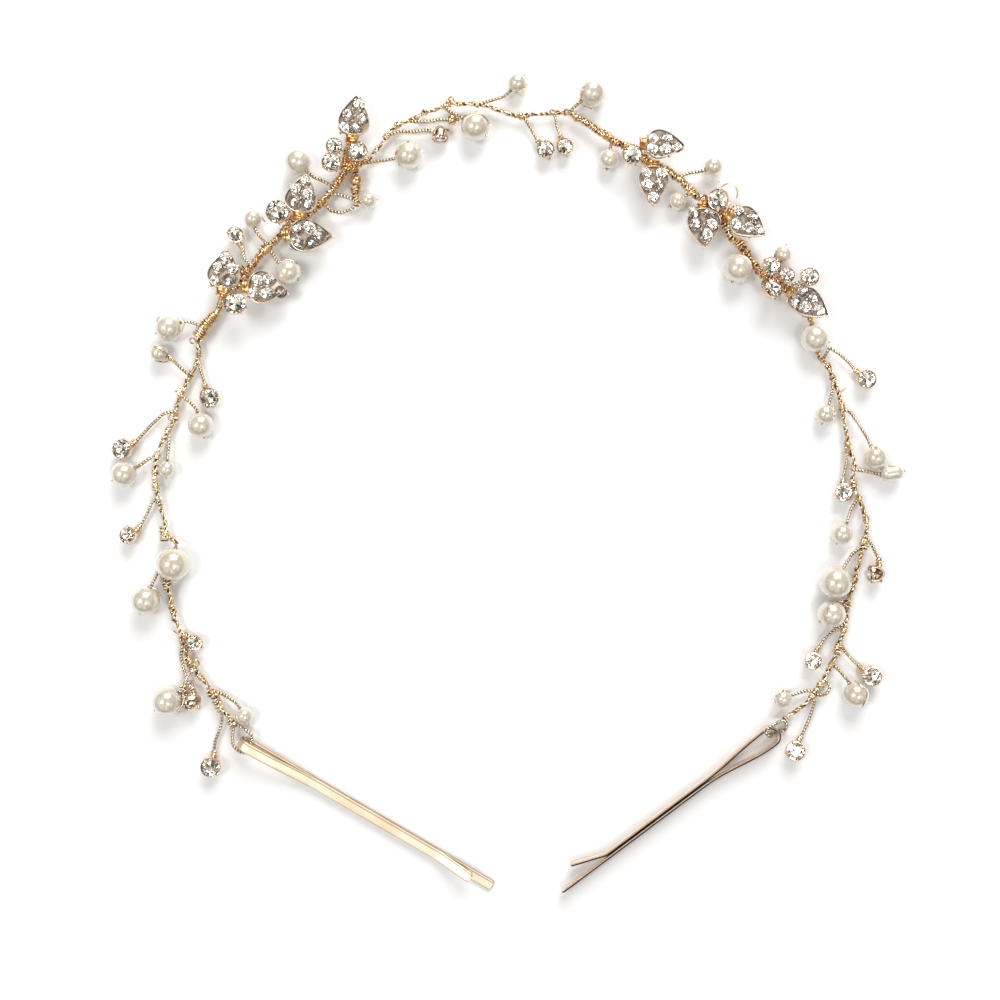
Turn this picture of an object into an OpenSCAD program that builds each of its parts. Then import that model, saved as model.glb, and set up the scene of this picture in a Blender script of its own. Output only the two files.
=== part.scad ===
// Pearl hair vine: an arch of twisted wire with pearls, claw-set stones and cast leaves, and two hair
// pins that hang on wire loops at its ends. It lies face up on the plane z = 0, open towards -Y.

/* [Wire] */
// Diameter of the twisted pair that carries a pearl or a stone
sprig_d = 0.7; // [0.6:0.02:0.76]
// Diameter of the twisted spine
spine_d = 1.06; // [0.9:0.02:1.1]
// Diameter of the wrapped stems that carry the leaves
stem_d = 1.5; // [1.2:0.1:1.6]
// Height of the spine's middle line
spine_height = 1.5; // [1.4:0.1:1.6]
// Height of the stems' middle line
stem_height = 2; // [1.9:0.1:2.1]
// Diameter of a knot where a sprig leaves the spine
knot_d = 1.5; // [1.3:0.1:1.5]

/* [Beads] */
// Room between a wire and the wall of the hole that it runs through
thread_gap = 0.15; // [0.1:0.05:0.2]
// Height of a small pearl's middle, whose wire keeps it off the surface
small_pearl_height = 1.9; // [1.9:0.1:2.2]
// How far a wire runs on past its bead
wire_past_bead = 0.3; // [0.2:0.1:0.4]

/* [Claw settings] */
// Depth of a cup below the wire that runs through it
cup_below = 0.75; // [0.7:0.05:0.8]
// Radius of one claw
claw_r = 0.16; // [0.14:0.01:0.18]
// Wall of the cup at its rim
cup_wall = 0.2; // [0.18:0.01:0.22]
// Room round a stone in its seat
stone_gap = 0.06; // [0.05:0.01:0.08]

/* [Leaves] */
// Thickness of a leaf
leaf_thick = 1.5; // [1.4:0.1:1.6]
// Width of the raised rim
leaf_rim = 0.35; // [0.3:0.05:0.4]
// Depth of the bed inside the rim
leaf_bed = 0.35; // [0.3:0.05:0.4]
// Length of the tab that is bound to the stem
tab_length = 1; // [0.8:0.1:1.1]
// Width of the tab
tab_width = 1.6; // [1.4:0.1:1.8]

/* [Pins] */
// Length of the pin that lies flat
flat_pin_length = 53; // [50:1:55]
// Length of the pin that lies on its side
side_pin_length = 48.8; // [46:0.2:50]
// Width of a pin's strip
pin_width = 1.9; // [1.7:0.1:1.9]
// Thickness of a pin's strip
pin_thick = 0.6; // [0.5:0.05:0.65]
// Outer radius of a pin's eye
eye_r = 1.9; // [1.8:0.05:1.9]
// Height at which the pin that lies on its side starts, above the wire under its eye
side_pin_lift = 0.75; // [0.75:0.05:0.9]

/* [Hidden] */
$fn = 48;

// The wire's sections, from the left end round to the right one
LEFT_LOWER = 0;
LEFT_UPPER = 1;
LEFT_STEM = 2;
TOP = 3;
RIGHT_STEM = 4;
RIGHT_UPPER = 5;
RIGHT_LOWER = 6;

// Pearls: x, y, diameter, wire section, and the wire's way from the spine to the pearl.
// An empty way is a pearl on the spine itself.
PEARLS = [
    [-47.2, -41.9, 3.2, LEFT_LOWER, [[-52.7, -37.5], [-51.1, -38.1], [-49.3, -39.2], [-48.3, -40]]],
    [-61, -39.2, 5.2, LEFT_LOWER, [[-56.7, -33.6], [-57.8, -35.2], [-57.9, -36.8]]],
    [-64.9, -21.1, 5.1, LEFT_LOWER, [[-60.8, -20.2], [-61.7, -17.6, 0.9], [-63, -15.9, 0.8], [-63.7, -18]]],
    [-59.8, -14.5, 6, LEFT_LOWER, []],
    [-68.8, 1.7, 4.6, LEFT_UPPER, [[-63, 5.1], [-64.6, 4.4], [-66.4, 3]]],
    [-61.2, 2.6, 3, LEFT_UPPER, [[-61, 9.3], [-60.9, 6.9], [-61.1, 4.8]]],
    [-55, 10.5, 4.6, LEFT_UPPER, [[-58.7, 15.9], [-57.1, 14.7], [-55.8, 13.4]]],
    [-62.6, 23.6, 3.3, LEFT_UPPER, [[-57, 19.4], [-58.7, 20.8], [-60.1, 22.3]]],
    [-60.8, 28, 4.7, LEFT_STEM, [[-54.6, 28.2], [-56.7, 29.1], [-57.9, 29.2]]],
    [-45.7, 47.8, 3.3, LEFT_STEM, [[-42.8, 43], [-44.1, 44.2], [-45.2, 45.6]]],
    [-39.2, 38.2, 4.5, LEFT_STEM, [[-42.8, 42.7], [-41.2, 39.9]]],
    [-37.5, 58, 4.7, LEFT_STEM, [[-31, 53.4], [-32.8, 54.5], [-34.7, 55.2], [-35.6, 56]]],
    [-24.8, 51.1, 3, LEFT_STEM, [[-33, 51.2], [-31.7, 49.2], [-29.9, 48.8], [-27.9, 49.4], [-27, 50.7]]],
    [-17.6, 59.1, 4.9, LEFT_STEM, [[-25.9, 57.7], [-22.7, 58.1], [-20.5, 58.4]]],
    [-5.6, 64.2, 5.1, TOP, [[-11.2, 68.2], [-10.3, 67.1], [-8.9, 66.5]]],
    [2, 72.2, 3.6, TOP, [[-4.7, 68.6], [-2, 69.4], [-0.5, 69.8], [0.5, 70.5]]],
    [15.5, 70.3, 4.9, TOP, [[11.2, 67.1], [12.3, 67.9], [13.3, 68.7]]],
    [18.5, 58.5, 3.6, RIGHT_STEM, [[19.1, 61.8], [18.9, 60.8]]],
    [37.4, 57.3, 3.4, RIGHT_STEM, [[31, 55.2], [33.1, 56], [35.6, 56.4]]],
    [30.9, 50.9, 3.2, RIGHT_STEM, [[33.4, 52.8], [32.7, 52.1]]],
    [41.7, 38.7, 5.2, RIGHT_STEM, [[43.6, 41.7, 1.4], [43.4, 41.9, 2], [43, 41.9]]],
    [50, 41.4, 3.2, RIGHT_STEM, [[48.6, 36.3], [49.3, 37.8], [49.3, 39.2]]],
    [55.6, 26.1, 5.1, RIGHT_STEM, []],
    [57.6, 12.5, 3.6, RIGHT_UPPER, [[59, 18.5], [58.9, 16.5], [58.4, 14.7]]],
    [66.6, 4.7, 4.2, RIGHT_UPPER, [[60.8, 13.4], [62.1, 13], [63.9, 10.4], [65.3, 8]]],
    [69.6, 1.9, 2.9, RIGHT_UPPER, [[62.8, 2.5], [65.2, 2.2], [67.5, 1.6]]],
    [60.6, -9.1, 3.8, RIGHT_UPPER, [[63.6, -2.6], [62.1, -5], [61.6, -7]]],
    [59.2, -17.8, 5.8, RIGHT_LOWER, [[64.3, -11.3], [62.5, -12.7], [60.9, -14.9]]],
    [58.6, -23.5, 5, RIGHT_LOWER, [[61.7, -22.8, 1.2], [61.8, -21.3]]],
    [63, -38, 4.7, RIGHT_LOWER, [[58.9, -32.5], [60.5, -34.1], [61.6, -35.5]]],
    [49.9, -38.8, 3.2, RIGHT_LOWER, [[56, -37.4], [53.8, -37.5], [52, -38.1]]]
];
// The oval pearl among them, and how much longer than wide it is
OVAL_PEARL = 26;
OVAL_EXTRA = 1.4;

// Stones at the ends of sprigs: x, y, width of the cup, turn of the face about the wire,
// wire section, and the wire's way to the setting
DROPS = [
    [-53.2, -51.1, 3.6, 0, LEFT_LOWER,
     [[-51.5, -40.6], [-51.3, -42.6], [-51.8, -44.6], [-52.6, -46.4], [-52.9, -48.5]]],
    [-56.3, -28.7, 2.9, 0, LEFT_LOWER, [[-58.8, -27], [-58, -27.4]]],
    [-67.8, -9.6, 3.1, 20, LEFT_UPPER, [[-62.9, -2.5], [-64.1, -3.5], [-65, -5.7], [-66.1, -7.5]]],
    [-68.9, 5.9, 3.6, 15, LEFT_UPPER, [[-59.8, 13.1], [-61.9, 12.7], [-64.4, 10.4], [-66.6, 8]]],
    [-54.2, 15.4, 3.5, -28, LEFT_UPPER, [[-55.6, 22.5], [-55.15, 20.3], [-54.5, 17.9]]],
    [-49.1, 44.6, 3, 15, LEFT_STEM, [[-45.8, 39.2], [-47.3, 40.6], [-47.5, 42.4], [-48, 43.1]]],
    [7.1, 60.2, 3.2, 0, TOP, [[3.2, 66.3], [4.5, 64.2], [5.6, 62.3]]],
    [10.6, 60.7, 3, 0, TOP, [[8.8, 67.1], [9.2, 64.7], [9.9, 62.9]]],
    [65, 18.8, 3.4, 0, RIGHT_UPPER, [[57.3, 22.4], [58.5, 24.6], [60.3, 23.5], [62.1, 21.9], [63.2, 20.6]]],
    [60.85, -1.6, 3.3, 0, RIGHT_UPPER, [[61.8, 6.4], [61.5, 3.7], [61.1, 1.2]]],
    [55.3, -32, 3.1, 0, RIGHT_LOWER, [[61.3, -25.2], [59.4, -26.4], [57.8, -27.8], [56.5, -29.8]]],
    [65.9, -34.7, 3.6, 0, RIGHT_LOWER, [[60.3, -28.7], [61.4, -30.5], [62.8, -32], [63.7, -32.9]]],
    [52.1, -48.2, 3.6, 0, RIGHT_LOWER,
     [[55.4, -38.4], [55.8, -39.7], [54.9, -42.4], [54, -44.6], [53.3, -46.1]]],
    [-11.9, 63.8, 3.1, 90, TOP, [[-21.6, 62.9], [-19.1, 63.6], [-16.9, 63.5], [-14.6, 63.8]]],
    [-55.9, -39, 3.4, 90, LEFT_LOWER,
     [[-58.4, -29], [-58.8, -31.1], [-58.3, -33.2], [-57.8, -35.2], [-57.5, -36.2], [-56.6, -37]]],
    [67.5, -16.2, 3.4, 90, RIGHT_LOWER, [[65, -9.2], [66.1, -11.1], [67.2, -13.4]]]
];

// Stones set among the leaves, with the wire's height at the setting before the wire section
CLUSTERS = [
    [-48.2, 31.9, 3.9, 0, 3.9, LEFT_STEM, [[-51.4, 33.1], [-51.2, 32.8, 3.2], [-50.6, 32.4]]],
    [-40.6, 48.2, 4.1, 0, 4, LEFT_STEM, [[-39.4, 46.6], [-39.1, 46.7, 3.4], [-39.1, 47]]],
    [-31.1, 57.1, 3.4, 0, 3.9, LEFT_STEM, [[-29.4, 56.1], [-29.2, 56.4, 3.2], [-29.6, 56.7]]],
    [-30.6, 60, 2.9, 0, 4, LEFT_STEM, [[-28.3, 59.4], [-28.6, 59.7, 3.2], [-29, 59.8]]],
    [-26.4, 59, 3.5, 0, 3.9, LEFT_STEM, [[-28.1, 58], [-28.3, 58.3, 3.2], [-28, 58.5]]],
    [22.45, 58.4, 3.6, 0, 4, RIGHT_STEM, [[22, 60.8], [21.7, 60.6, 3.2], [21.6, 60.1]]],
    [38.45, 50.9, 3.8, -32, 4.3, RIGHT_STEM, [[38.6, 49.4], [39.3, 49.2, 3.3], [39.3, 49.4]]],
    [47.2, 38.6, 3.3, 0, 4, RIGHT_STEM, [[45.4, 38.4], [45.4, 38.5, 3.2], [45.6, 38.6]]],
    [49.9, 37, 2.8, 0, 4.1, RIGHT_STEM, [[49.6, 35.4], [49.4, 35.4, 3.2], [49.4, 35.6]]],
    [54, 36.7, 3.3, 0, 4, RIGHT_STEM, [[50.4, 34.8], [51, 35.4, 3.2], [52.4, 36.1]]],
    [47, 34.2, 3.5, -25, 4, RIGHT_STEM, [[47.3, 36.8], [46.2, 36.3, 3.2], [45.9, 35.3]]]
];

// Metal beads: x, y, diameter, wire section, and the wire's way to the bead
METAL_BEADS = [
    [-27, 54.6, 2.3, LEFT_STEM, [[-28.1, 57.4], [-27.5, 56.2]]],
    [-9.8, 65.8, 1.9, TOP, [[-17.5, 65.5], [-15.5, 65.3], [-13.3, 65.5], [-11.7, 65.8]]]
];

// Leaves: x and y of the tip, direction in which the leaf points, width, height of the underside,
// and length
LEAVES = [
    [-49.65, 41.8, 82, 5.9, 3, 7],
    [-39.2, 34.6, -3, 5.9, 3, 7],
    [-35.7, 55.25, 79, 5.8, 3, 7],
    [-30.8, 44.05, -2, 5.9, 3, 8],
    [-26.7, 69.4, 81, 5.6, 3, 7.2],
    [31.9, 60.1, -2, 5.1, 3.9, 7],
    [26.1, 49.8, -92, 5.4, 3, 7],
    [35.5, 41.95, -91, 6.1, 3, 7.3],
    [46.45, 44.3, -29, 5.5, 3, 7.2],
    [57.7, 29.9, -33, 5.2, 3, 7.3]
];
// Leaves before this one lie on the left half
FIRST_RIGHT_LEAF = 6;

// The spine's way in each section: x, y, and a height where it isn't the section's own
SPINES = [
    [[-49.1, -43.3], [-50.8, -41.5], [-51.5, -40.6], [-52.2, -38.4], [-52.7, -37.7], [-54.2, -36.1],
     [-55.8, -34.3], [-57.2, -32], [-58, -30], [-58.5, -28.7], [-59, -25.8], [-60.3, -23.1],
     [-60.8, -20.4], [-61, -18.9, 2.4], [-60.5, -17.9, 3], [-59.2, -11.2, 3]],
    [[-59.1, -10.8, 3], [-59.2, -10.4, 2.9], [-60.1, -10.1, 2.3], [-61.1, -9.6], [-61.6, -8.4],
     [-61.5, -7], [-62, -5.7], [-62.6, -4.2], [-63, -2.3], [-63.3, 0], [-63.5, 2.3], [-63.2, 4.3],
     [-62.6, 6.6], [-61.7, 8.2], [-60.7, 10.2], [-59.7, 11.8], [-59.7, 13.1], [-59.4, 14.3],
     [-58.1, 17.4], [-56.9, 19.9], [-56, 21.5], [-55.4, 23.1], [-55.6, 24.8], [-55.6, 26.5]],
    [[-55.6, 26.8], [-54.4, 28.5], [-52.9, 30], [-51.7, 31.6], [-51.3, 33.4], [-50.4, 34.7],
     [-48.6, 35.6], [-47.3, 37], [-46.1, 39], [-43.6, 42], [-42.1, 43.3], [-40.7, 44.6], [-39.7, 46],
     [-38.7, 47.3], [-36.7, 48.2], [-34.9, 48.9], [-33.8, 50.1], [-31.3, 53], [-30.2, 54.5], [-29.2, 56.1],
     [-28.1, 57.7], [-25.9, 57.9], [-24.8, 58.5]],
    [[-24.5, 58.8], [-23.6, 60], [-22.5, 61.5], [-21.4, 63.1], [-20.5, 64.2], [-18.9, 65.1], [-17.5, 65.7],
     [-15.8, 66.2], [-14.8, 67.2], [-13.3, 67.4], [-11.2, 68.2], [-9.9, 68.9], [-8.6, 68.5],
     [-6.5, 68.7], [-4.7, 68.6], [-3.2, 68.2], [-0.2, 67.1], [1.6, 66.5], [3.2, 66.3], [4.7, 66.8],
     [7.2, 66.8], [8.8, 67.1], [11.5, 67.1]],
    [[11.9, 66.9], [12.8, 65.9], [14.8, 65], [16.4, 63.7], [18, 62.8], [20.5, 61.1], [22, 60.8],
     [25.9, 58.1], [29.2, 56.5], [30.6, 55.4], [32, 54.3], [34, 52], [35.6, 51.4], [37.3, 50.5],
     [38.9, 49.1], [39.8, 47.1], [40, 45.3], [41, 44], [43.6, 41.7, 1.4], [44.6, 40.2, 1.4],
     [45.4, 38.4], [46.8, 37.2], [48.6, 36.3], [50.4, 34.8], [52.9, 32.5], [54.6, 30.2],
     [55, 29.1, 2.55], [56.2, 23.2, 2.55]],
    [[56.3, 22.8, 2.55], [56.5, 22.4, 2.4], [57.2, 22.2], [58, 21.7], [58.3, 20.7], [59, 19.9],
     [59, 18.5], [59.9, 17.2], [60.5, 14.9], [61, 11.8], [61.7, 8.2], [61.6, 6.8], [62.3, 5.5],
     [62.9, 4.2], [62.8, 2.6], [62.6, 1], [63, -0.6], [63.7, -2.6], [64.4, -4.4], [65.3, -7.4], [65.2, -8.6]],
    [[65.1, -8.9], [64.8, -9.8], [64.4, -11.1], [64.1, -13.1], [63.2, -16.3], [63, -17.7],
     [62.5, -19.4], [61.8, -21, 1.2], [61.8, -22.8, 1.2], [61.5, -24.6, 1.2], [61.2, -26.2],
     [60, -29.4], [59.6, -31.1], [57.4, -35.4], [56.3, -36.8], [55.6, -38.1], [54.4, -39.6],
     [51.1, -42], [50, -42.9]]
];

// Branches that carry no bead: wire section and way
BRANCHES = [
    [LEFT_LOWER, [[-57.3, -31.8], [-56.9, -33], [-56.7, -33.6]]],
    [LEFT_STEM, [[-28.1, 57.7, 2], [-28.4, 59.7, 2], [-28.4, 61.7, 2]]],
    [LEFT_STEM, [[-32, 52.2, 2], [-30.2, 52.1, 2], [-28.3, 51.5, 1.9], [-26.8, 50.6, 1.85]]],
    [LEFT_STEM, [[-27, 52.7, 1.95], [-26.7, 51, 1.8]]],
    [RIGHT_LOWER, [[57.6, -35.5], [58.6, -36.6], [58.1, -37.9], [56.8, -38.4], [55.9, -38.2]]]
];

// Knots of wound wire: wire section and the two ends of each
KNOTS = [
    [LEFT_LOWER, [[-49.6, -42.8], [-49, -43.8]]],
    [LEFT_LOWER, [[-51.1, -41.3], [-51.6, -40.4]]],
    [LEFT_LOWER, [[-52.4, -38.3], [-53, -37.4]]],
    [LEFT_LOWER, [[-55, -35.2], [-55.7, -34.5]]],
    [LEFT_LOWER, [[-56.5, -33.3], [-56.9, -33.9]]],
    [LEFT_LOWER, [[-57.9, -36], [-57.9, -36.7]]],
    [LEFT_LOWER, [[-58.5, -29], [-58.8, -27.4]]],
    [LEFT_LOWER, [[-60.2, -23.3], [-60.6, -21.4]]],
    [LEFT_UPPER, [[-61.4, -9.4], [-61.6, -8.4]]],
    [LEFT_UPPER, [[-62.5, -4.4], [-62.85, -2.75]]],
    [LEFT_UPPER, [[-63.4, 1.4], [-63.5, 2.4]]],
    [LEFT_UPPER, [[-63.2, 4.4], [-63, 5.4]]],
    [LEFT_UPPER, [[-61.3, 9], [-60.8, 10]]],
    [LEFT_UPPER, [[-59.8, 11.8], [-59.7, 13]]],
    [LEFT_UPPER, [[-59, 15.2], [-58.5, 16.4]]],
    [LEFT_UPPER, [[-57.2, 19.2], [-56.7, 20.2]]],
    [LEFT_UPPER, [[-55.5, 22.8], [-55.5, 23.8]]],
    [LEFT_STEM, [[-54.6, 28.3], [-53.8, 29.05]]],
    [LEFT_STEM, [[-51.4, 33], [-50.9, 34]]],
    [LEFT_STEM, [[-48.2, 36], [-47.4, 36.9]]],
    [LEFT_STEM, [[-43.6, 42], [-42.8, 42.7]]],
    [LEFT_STEM, [[-40.4, 45], [-39.8, 45.9]]],
    [LEFT_STEM, [[-38.3, 47.5], [-37.3, 48]]],
    [LEFT_STEM, [[-33.6, 50.3], [-32.8, 51.3]]],
    [LEFT_STEM, [[-30.4, 54.2], [-29.8, 55.2]]],
    [LEFT_STEM, [[-28.3, 57.3], [-27.7, 57.7]]],
    [TOP, [[-21.9, 62.3], [-21.4, 63.1]]],
    [TOP, [[-20.2, 64.4], [-19.25, 65.05]]],
    [TOP, [[-15.2, 66.9], [-14.4, 67.2]]],
    [TOP, [[-10.8, 68.4], [-10, 68.8]]],
    [TOP, [[-5.6, 68.6], [-4.7, 68.6]]],
    [TOP, [[2.4, 66.4], [3.4, 66.4]]],
    [TOP, [[8, 66.9], [9, 67.1]]],
    [TOP, [[10.4, 67.1], [11.2, 67.1]]],
    [RIGHT_STEM, [[12.2, 66.6], [12.8, 66]]],
    [RIGHT_STEM, [[18, 62.8], [19, 62.1]]],
    [RIGHT_STEM, [[21.4, 60.9], [22.4, 60.5]]],
    [RIGHT_STEM, [[29.2, 56.5], [30, 55.9]]],
    [RIGHT_STEM, [[33, 53.2], [33.8, 52.3]]],
    [RIGHT_STEM, [[38.2, 49.7], [38.9, 49]]],
    [RIGHT_STEM, [[39.9, 46.4], [40, 45.5]]],
    [RIGHT_STEM, [[46, 37.9], [46.8, 37.2]]],
    [RIGHT_STEM, [[48.6, 36.3], [49.5, 35.6]]],
    [RIGHT_UPPER, [[58, 21.7], [58.3, 20.8]]],
    [RIGHT_UPPER, [[59, 19.6], [59, 18.6]]],
    [RIGHT_UPPER, [[60.6, 14.4], [60.8, 13]]],
    [RIGHT_UPPER, [[61.7, 7.6], [61.7, 6.6]]],
    [RIGHT_UPPER, [[62.8, 3.6], [62.8, 2.4]]],
    [RIGHT_UPPER, [[62.8, 0.4], [62.9, -0.4]]],
    [RIGHT_UPPER, [[63.6, -2.2], [63.9, -3.2]]],
    [RIGHT_UPPER, [[64.9, -6], [65.2, -7]]],
    [RIGHT_LOWER, [[64.6, -10.4], [64.4, -11.3]]],
    [RIGHT_LOWER, [[63.1, -17], [62.9, -18]]],
    [RIGHT_LOWER, [[61.2, -26], [60.9, -27]]],
    [RIGHT_LOWER, [[60.2, -28.8], [59.8, -29.8]]],
    [RIGHT_LOWER, [[59, -32.3], [58.6, -33.1]]],
    [RIGHT_LOWER, [[57, -35.9], [56.4, -36.7]]],
    [RIGHT_LOWER, [[55.6, -38.1], [55.1, -38.7]]],
    [RIGHT_LOWER, [[50.85, -42.25], [50.1, -42.8]]]
];

// Wire loops at the two ends: they run through the eyes of the pins
LEFT_LOOP = [
    [-49.1, -43.6, 1.5], [-49.4, -45.3, 1.6], [-49.3, -47.2, 1.9], [-48.5, -48.1, 1.9],
    [-47.4, -48.8, 1.9], [-45.8, -46, 1.9], [-45.7, -45.4, 1.9], [-46.8, -44.6, 1.8], [-48.6, -43.5, 1.5]
];
RIGHT_LOOP = [
    [50, -42.8, 1.6], [48.6, -43.2, 2.7], [47.4, -43.7, 3.1], [46.5, -44.4, 3.1], [46.9, -45.2, 3.05],
    [47.7, -45.6, 2.6], [47.7, -45.6, 0.9], [48.3, -45.4, 0.35], [49.6, -45, 0.35],
    [50.7, -44.7, 0.5], [50.9, -43.8, 1], [50.3, -42.9, 1.5]
];

// Where each pin's eye lies, and the direction in which the pin points
FLAT_PIN_EYE = [-46.6, -47.4];
FLAT_PIN_ANGLE = -30.2;
SIDE_PIN_EYE = [47.7, -45.6];
SIDE_PIN_ANGLE = 216.8;

TUBE_SIDES = 6;
STONE_SIDES = 8;
SECTION_NAMES = ["left_lower", "left_upper", "left_stem", "top", "right_stem", "right_upper", "right_lower"];
function is_stem(section) = section == LEFT_STEM || section == RIGHT_STEM;
function section_height(section) = is_stem(section) ? stem_height : spine_height;
function section_radius(section) = (is_stem(section) ? stem_d : spine_d) / 2;

function two_digits(n) = str(n < 10 ? "0" : "", n);
function pearl_name(i) = str("pearl_", two_digits(i + 1));
function leaf_name(i) = str("leaf_", two_digits(i + 1));
function wire_name(i) = str("wire_", SECTION_NAMES[i]);

// Directions and routes

function unit(v) = v / norm(v);

// The compass angle from one point to another
function bearing(a, b) = atan2(b.y - a.y, b.x - a.x);

// A route whose points without a height rise evenly from z0 to z1
function rising(way, z0, z1) =
    let (last = max(1, len(way) - 1))
    [for (i = [0 : len(way) - 1])
        len(way[i]) == 3 ? way[i] : [way[i].x, way[i].y, z0 + (z1 - z0) * i / last]];

// Direction of a route at its point i: the mean of the stretches before and after it
function heading(way, i) =
    i == 0 ? unit(way[1] - way[0]) :
    i == len(way) - 1 ? unit(way[i] - way[i - 1]) :
    unit(unit(way[i] - way[i - 1]) + unit(way[i + 1] - way[i]));

// Corners of the tube round point i, square to the route there
function tube_ring(way, i, r) =
    let (ahead = heading(way, i), side = unit(cross([0, 0, 1], ahead)), top = cross(ahead, side))
    [for (k = [0 : TUBE_SIDES - 1])
        way[i] + r * (cos(360 * k / TUBE_SIDES) * side + sin(360 * k / TUBE_SIDES) * top)];

// A tube along a route with a radius for each point, closed at both ends
module tube(way, radii) {
    n = len(way);
    corners = [for (i = [0 : n - 1]) each tube_ring(way, i, radii[i])];
    walls = [
        for (i = [0 : n - 2], k = [0 : TUBE_SIDES - 1])
            let (a = i * TUBE_SIDES + k, b = i * TUBE_SIDES + (k + 1) % TUBE_SIDES)
            each [[a, a + TUBE_SIDES, b + TUBE_SIDES], [a, b + TUBE_SIDES, b]]
    ];
    start = [for (k = [0 : TUBE_SIDES - 1]) k];
    end = [for (k = [1 : TUBE_SIDES]) n * TUBE_SIDES - k];
    polyhedron(corners, concat(walls, [start, end]));
}

module even_tube(way, d) {
    tube(way, [for (p = way) d / 2]);
}

// A short wound knot from one point to another
module knot(a, b, d) {
    hull() {
        translate(a) sphere(d = d, $fn = TUBE_SIDES);
        translate(b) sphere(d = d, $fn = TUBE_SIDES);
    }
}

// A wire that may run upright: short straight stretches with round joints
module bent_wire(way, d) {
    for (i = [0 : len(way) - 2])
        knot(way[i], way[i + 1], d);
}

// Pearls and metal beads

function pearl_height(row) = max(row[2] / 2, small_pearl_height);
function pearl_centre(row) = [row[0], row[1], pearl_height(row)];

// The way of a wire to a bead and straight on through it, ending a little past its far side
function through(way, centre, reach) =
    let (last = way[len(way) - 1])
    concat(way, [centre + (reach + wire_past_bead) * unit([centre.x - last.x, centre.y - last.y, 0])]);

// The bearing of the hole of a pearl: along its wire, or along the spine
function pearl_bearing(i) =
    let (row = PEARLS[i], way = row[4])
    len(way) > 0 ? bearing(way[len(way) - 1], row) :
    row[3] == LEFT_LOWER ? bearing(SPINES[LEFT_LOWER][14], SPINES[LEFT_LOWER][15]) :
    bearing(SPINES[RIGHT_STEM][26], SPINES[RIGHT_STEM][27]);

function on_spine(row) = len(row[4]) == 0;

// A hole along X
module level_hole(d, length) {
    rotate([0, 90, 0]) cylinder(d = d, h = length, center = true);
}

module pearl(i) {
    row = PEARLS[i];
    wire = on_spine(row) ? spine_d + 0.1 : sprig_d;
    color("#f1ebdc") translate(pearl_centre(row)) rotate(pearl_bearing(i)) difference() {
        rotate(90)
            if (i + 1 == OVAL_PEARL)
                oval(row[2] / 2, OVAL_EXTRA);
            else
                sphere(d = row[2], $fn = 64);
        level_hole(wire + 2 * thread_gap, 2 * row[2]);
    }
}

// A round-ended oval that lies along X
module oval(r, extra) {
    rotate([0, 90, 0]) cylinder(r = r, h = extra, center = true, $fn = 64);
    for (side = [-1, 1])
        translate([side * extra / 2, 0, 0]) sphere(r = r, $fn = 64);
}

function metal_bead_centre(row) = [row[0], row[1], section_height(row[3])];

module gold_beads() {
    color("#d9ac6c")
    for (row = METAL_BEADS)
        translate(metal_bead_centre(row)) rotate(bearing(row[4][len(row[4]) - 1], row)) difference() {
            rotate(90) sphere(d = row[2], $fn = 64);
            level_hole(sprig_d + 2 * thread_gap, 2 * row[2]);
        }
}

// Claw settings and stones. A setting's own origin is on its wire, its face looks up +Z and the
// wire runs along X.

function stone_r(width) = width / 2 - cup_wall - stone_gap;
PAVILION = 0.6;
CROWN = 0.33;
TABLE = 0.58;
CUP_FLOOR = 0.75;
function girdle_height(r) = CUP_FLOOR + PAVILION * r + stone_gap;

// Radius of a cup at a height: an ellipse that is cut off flat below
CUP_FLAT = 0.12;
function cup_r(width, z) =
    let (girdle = girdle_height(stone_r(width)))
    width / 2 * sqrt(1 - pow((girdle - z) / (girdle + cup_below + CUP_FLAT), 2));

CUP_STEPS = 8;
function cup_outline(width) =
    let (girdle = girdle_height(stone_r(width)), deep = girdle + cup_below)
    [for (i = [0 : CUP_STEPS]) let (z = girdle - deep * i / CUP_STEPS) [cup_r(width, z), z]];

module stone(r) {
    n = STONE_SIDES;
    girdle = [for (k = [0 : n - 1]) let (a = 360 * (k + 0.5) / n) [r * cos(a), r * sin(a), 0]];
    table = [for (k = [0 : n - 1]) let (a = 360 * k / n) [TABLE * r * cos(a), TABLE * r * sin(a), CROWN * r]];
    sides = [
        for (k = [0 : n - 1])
            let (next = (k + 1) % n)
            each [[k, n + k, n + next], [k, n + next, next], [k, next, 2 * n]]
    ];
    face = [for (k = [1 : n]) 2 * n - k];
    polyhedron(concat(girdle, table, [[0, 0, -PAVILION * r]]), concat(sides, [face]));
}

// A claw stands a little inside the seat's edge, which cuts it flat towards the stone, and rises
// past the stone's table
CLAW_INSET = 0.2;
CLAW_RISE = 0.1;
SEAT_LIP = 0.2;
SEAT_POINT = 0.15;
module claw_setting(width) {
    r = stone_r(width);
    girdle = girdle_height(r);
    seat = r + stone_gap;
    difference() {
        union() {
            rotate_extrude() polygon(concat([[0, girdle]], cup_outline(width), [[0, -cup_below]]));
            for (a = [45 : 90 : 315])
                rotate(a) translate([seat + (1 - CLAW_INSET) * claw_r, 0, girdle / 2])
                    cylinder(r = claw_r, h = girdle / 2 + (CROWN + CLAW_RISE) * r, $fn = 16);
        }
        level_hole(sprig_d + 2 * thread_gap, 2 * width);
        translate([0, 0, girdle - PAVILION * seat - stone_gap])
            cylinder(r1 = SEAT_POINT, r2 = seat, h = PAVILION * seat + stone_gap - SEAT_POINT);
        translate([0, 0, girdle - SEAT_LIP]) cylinder(r = seat, h = r);
    }
}

// Places a setting or its stone: at a point on the wire, square to the wire, its face turned about it
module placed(at, angle, turn) {
    translate(at) rotate([0, 0, angle]) rotate([turn, 0, 0]) children();
}

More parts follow.
